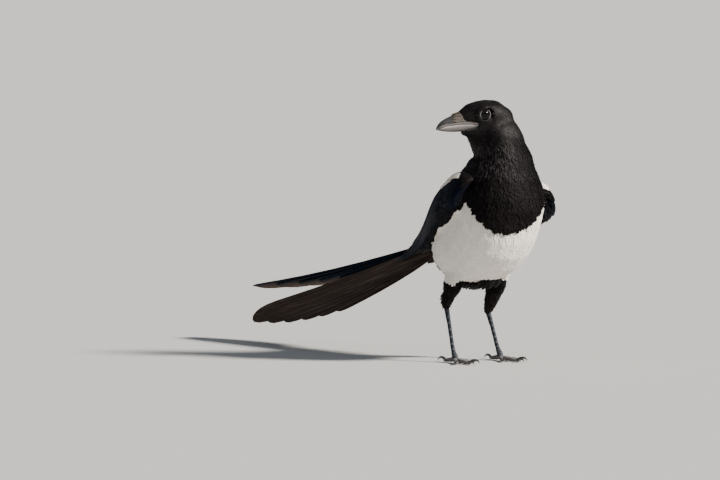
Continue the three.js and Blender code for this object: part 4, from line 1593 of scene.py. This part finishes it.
# Legs
legSetting = {
    "right": {"heel": (-14, 49)}, "left": {"heel": (-19, 42)}, "out": 23.5, "rings": 90, "around": 24,
    "scutes": 18, "scuteLength": 2.1,  # scutes down the tarsus, and mm to each one on the toes
    "scuteRise": 0.2, "padRise": 0.14, "clawSteps": 18, "clawAround": 14,
    # half thickness across and through, at places down the tarsus
    "across": (2.0, 2.2, 1.65, 1.75, 2.6, 1.9), "through": (2.2, 2.6, 1.85, 1.95, 2.7, 1.6),
    "toes": {  # length, degrees from straight ahead, claw and thickness
        "middle": (27, 4, 9.5, 2.1), "inner": (19, -24, 8.5, 1.9),
        "outer": (20.5, 30, 8, 1.9), "hind": (15.5, 178, 12, 2.1)},
    # places along a toe, and its share of the full thickness there
    "shares": np.array([0.02, 0.2, 0.36, 0.5, 0.66, 0.82, 1.0]),
    "knuckles": np.array([1, 0.9, 1.05, 0.86, 1.02, 0.85, 0.72]),
}


def scaledTube(middles, wide, high, scutes, crossways, pale, flatFloor=False):
    # a limb with overlapping scutes down its front; middles, wide and high are smooth lines
    t = np.linspace(0, 1, legSetting["rings"])
    centre = throughPoints(middles, t)
    sizes = throughPoints(np.stack([wide, high], 1), t)
    along = unit(np.gradient(centre, axis=0))
    out = unit(np.cross(np.cross(along, crossways), along))
    front = unit(np.cross(along, out))
    turn = ringTurns(legSetting["around"])
    c, s = np.cos(turn), np.sin(turn)
    place = (t * scutes) % 1
    facing = ramp(s, -0.15, 0.35)
    step = legSetting["scuteRise"] * (place**1.6) * (1 - ramp(place, 0.93, 1.0))
    pads = legSetting["padRise"] * np.cos(t * scutes * 0.5 * np.pi) ** 2
    grow = step[:, None] * facing + pads[:, None] * (1 - facing)
    x = (sizes[:, :1] + grow) * c
    y = (sizes[:, 1:] + grow) * s
    sections = centre[:, None] + out[:, None] * x[..., None] + front[:, None] * y[..., None]
    if flatFloor:
        sections[..., 2] = np.maximum(sections[..., 2], 0.08)
    edge = ramp(place, 0.8, 0.95)[:, None] * facing
    return sections, np.stack([edge, np.full_like(edge, pale), 0.5 + 0 * edge], -1)


def toeTube(foot, ahead, across, length, thick):
    shares = legSetting["shares"]
    line = [foot + ahead * length * s + (0, 0, 1.55 + (1 - s) * 1.7) for s in shares]
    wide = thick * (1.05 - 0.28 * shares) * legSetting["knuckles"]
    scutes = round(length / legSetting["scuteLength"])
    return scaledTube(line, wide, wide * 0.95, scutes, across, 0.8, True)


def clawTube(foot, ahead, across, length, claw):
    # bent down from the toe's end to the floor; its map holds mm along and the turn around it
    s = np.linspace(0, 1, legSetting["clawSteps"])
    reach = length - 1.5 + claw * np.sin(s * 1.35)
    height = 2.3 + claw * (0.17 * np.sin(s * np.pi) - 0.2 * s * s)
    middle = foot + ahead * reach[:, None] + np.stack([0 * s, 0 * s, np.maximum(height, 0.45)], 1)
    forward = unit(np.gradient(middle, axis=0))
    upward = unit(np.cross(forward, across))
    upward = upward * np.sign(upward[:, 2:])
    turn = ringTurns(legSetting["clawAround"])
    thin = (1 - s) ** 0.8
    ring = (middle[:, None] + across * ((1.05 * thin + 0.1)[:, None] * np.cos(turn))[..., None]
            + upward[:, None] * ((1.45 * thin + 0.1)[:, None] * np.sin(turn))[..., None])
    ring[..., 2] = np.maximum(ring[..., 2], 0.06)
    along = np.broadcast_to((s * claw)[:, None], ring.shape[:2])
    return ring, np.stack([along, np.broadcast_to(turn, along.shape)], -1)


def legPieces(side):
    own, sign = legSetting, sides[side]
    y = sign * own["out"]
    foot = np.array([0, y, 0])
    hx, hz = own[side]["heel"]
    tarsus = [
        (hx - 0.5, y, hz + 6), (hx + 0.5, y, hz), (hx * 0.6, y, hz * 0.62 + 2),
        (hx * 0.2, y, 12), (0.4, y, 5.5), (0.9, y, 2.8)]
    parts = [scaledTube(tarsus, own["across"], own["through"], own["scutes"], (0, 1, 0), 0.0)]
    claws = []
    for length, points, claw, thick in own["toes"].values():
        way = np.radians(sign * points)
        ahead = np.array([np.cos(way), np.sin(way), 0])
        across = np.array([-np.sin(way), np.cos(way), 0])
        parts.append(toeTube(foot, ahead, across, length, thick))
        claws.append(clawTube(foot, ahead, across, length, claw))
    sections, tones = (np.array(v) for v in zip(*parts))
    tubePiece(f"leg_{side}", sections, tones, materials["scales"], "scales",
              f"tarsus_{side}", f"foot_{side}")
    sections, mapped = (np.array(v) for v in zip(*claws))
    pale = ramp(mapped[..., 0], 0, 9) * 0.5
    tubePiece(f"claws_{side}", sections, np.stack([pale, 0 * pale, 0 * pale], -1),
              materials["claw"], "claw", *(f"claw_{side}_{toe}" for toe in own["toes"]), horn=mapped)


for side in sides:
    legPieces(side)
print("legs made")


# Stage
stageSetting = {
    "floorSize": 60, "floorTint": (0.56, 0.555, 0.545, 1),
    "keyTurn": 64, "keyRise": 34, "keyStrength": 9.0, "keySize": 8, "keyTint": (1, 0.95, 0.88),
    "fillWay": (-0.8, 0.6, 0.5),  # across the camera's view, back to it and up
    "fillStrength": 0.2, "fillSize": 60, "fillTint": (0.72, 0.84, 1),
    "sky": 0.24, "skyTint": (0.82, 0.88, 0.96, 1),
}


def addStage():
    own = stageSetting
    bpy.ops.mesh.primitive_plane_add(size=own["floorSize"])
    floor = bpy.context.object
    floor.name = "floor"
    material, tree, shader = newMaterial("pale floor", **{"Roughness": 0.9, "Specular IOR Level": 0.2})
    speck = noise(tree, objectPlace(tree), 60, 3.0)
    tint = np.array(own["floorTint"])
    mixed = mixColour(tree, speck, tuple(tint * (0.97, 0.97, 0.97, 1)), tuple(tint))
    tree.links.new(mixed, shader.inputs["Base Color"])
    floor.data.materials.append(material)
    turn, rise = np.radians(own["keyTurn"]), np.radians(own["keyRise"])
    level = unit(cameraBack * (1, 1, 0))
    toKey = (cameraAcross * np.sin(turn) + level * np.cos(turn)) * np.cos(rise)
    toKey = toKey + np.array([0, 0, np.sin(rise)])
    across, back, up = own["fillWay"]
    toFill = cameraAcross * across + level * back + np.array([0, 0, up])
    for name, way, strength, angle, colour in (
        ("key", toKey, own["keyStrength"], own["keySize"], own["keyTint"]),
        ("fill", toFill, own["fillStrength"], own["fillSize"], own["fillTint"]),
    ):
        data = bpy.data.lights.new(name, "SUN")
        data.energy = strength
        data.angle = np.radians(angle)
        data.color = colour
        lamp = bpy.data.objects.new(name, data)
        lamp.rotation_euler = Vector(way).to_track_quat("Z", "Y").to_euler()
        bpy.context.scene.collection.objects.link(lamp)
    world = bpy.data.worlds.new("studio")
    bpy.context.scene.world = world
    world.use_nodes = True
    world.node_tree.nodes["Background"].inputs[0].default_value = own["skyTint"]
    world.node_tree.nodes["Background"].inputs[1].default_value = own["sky"]


addStage()
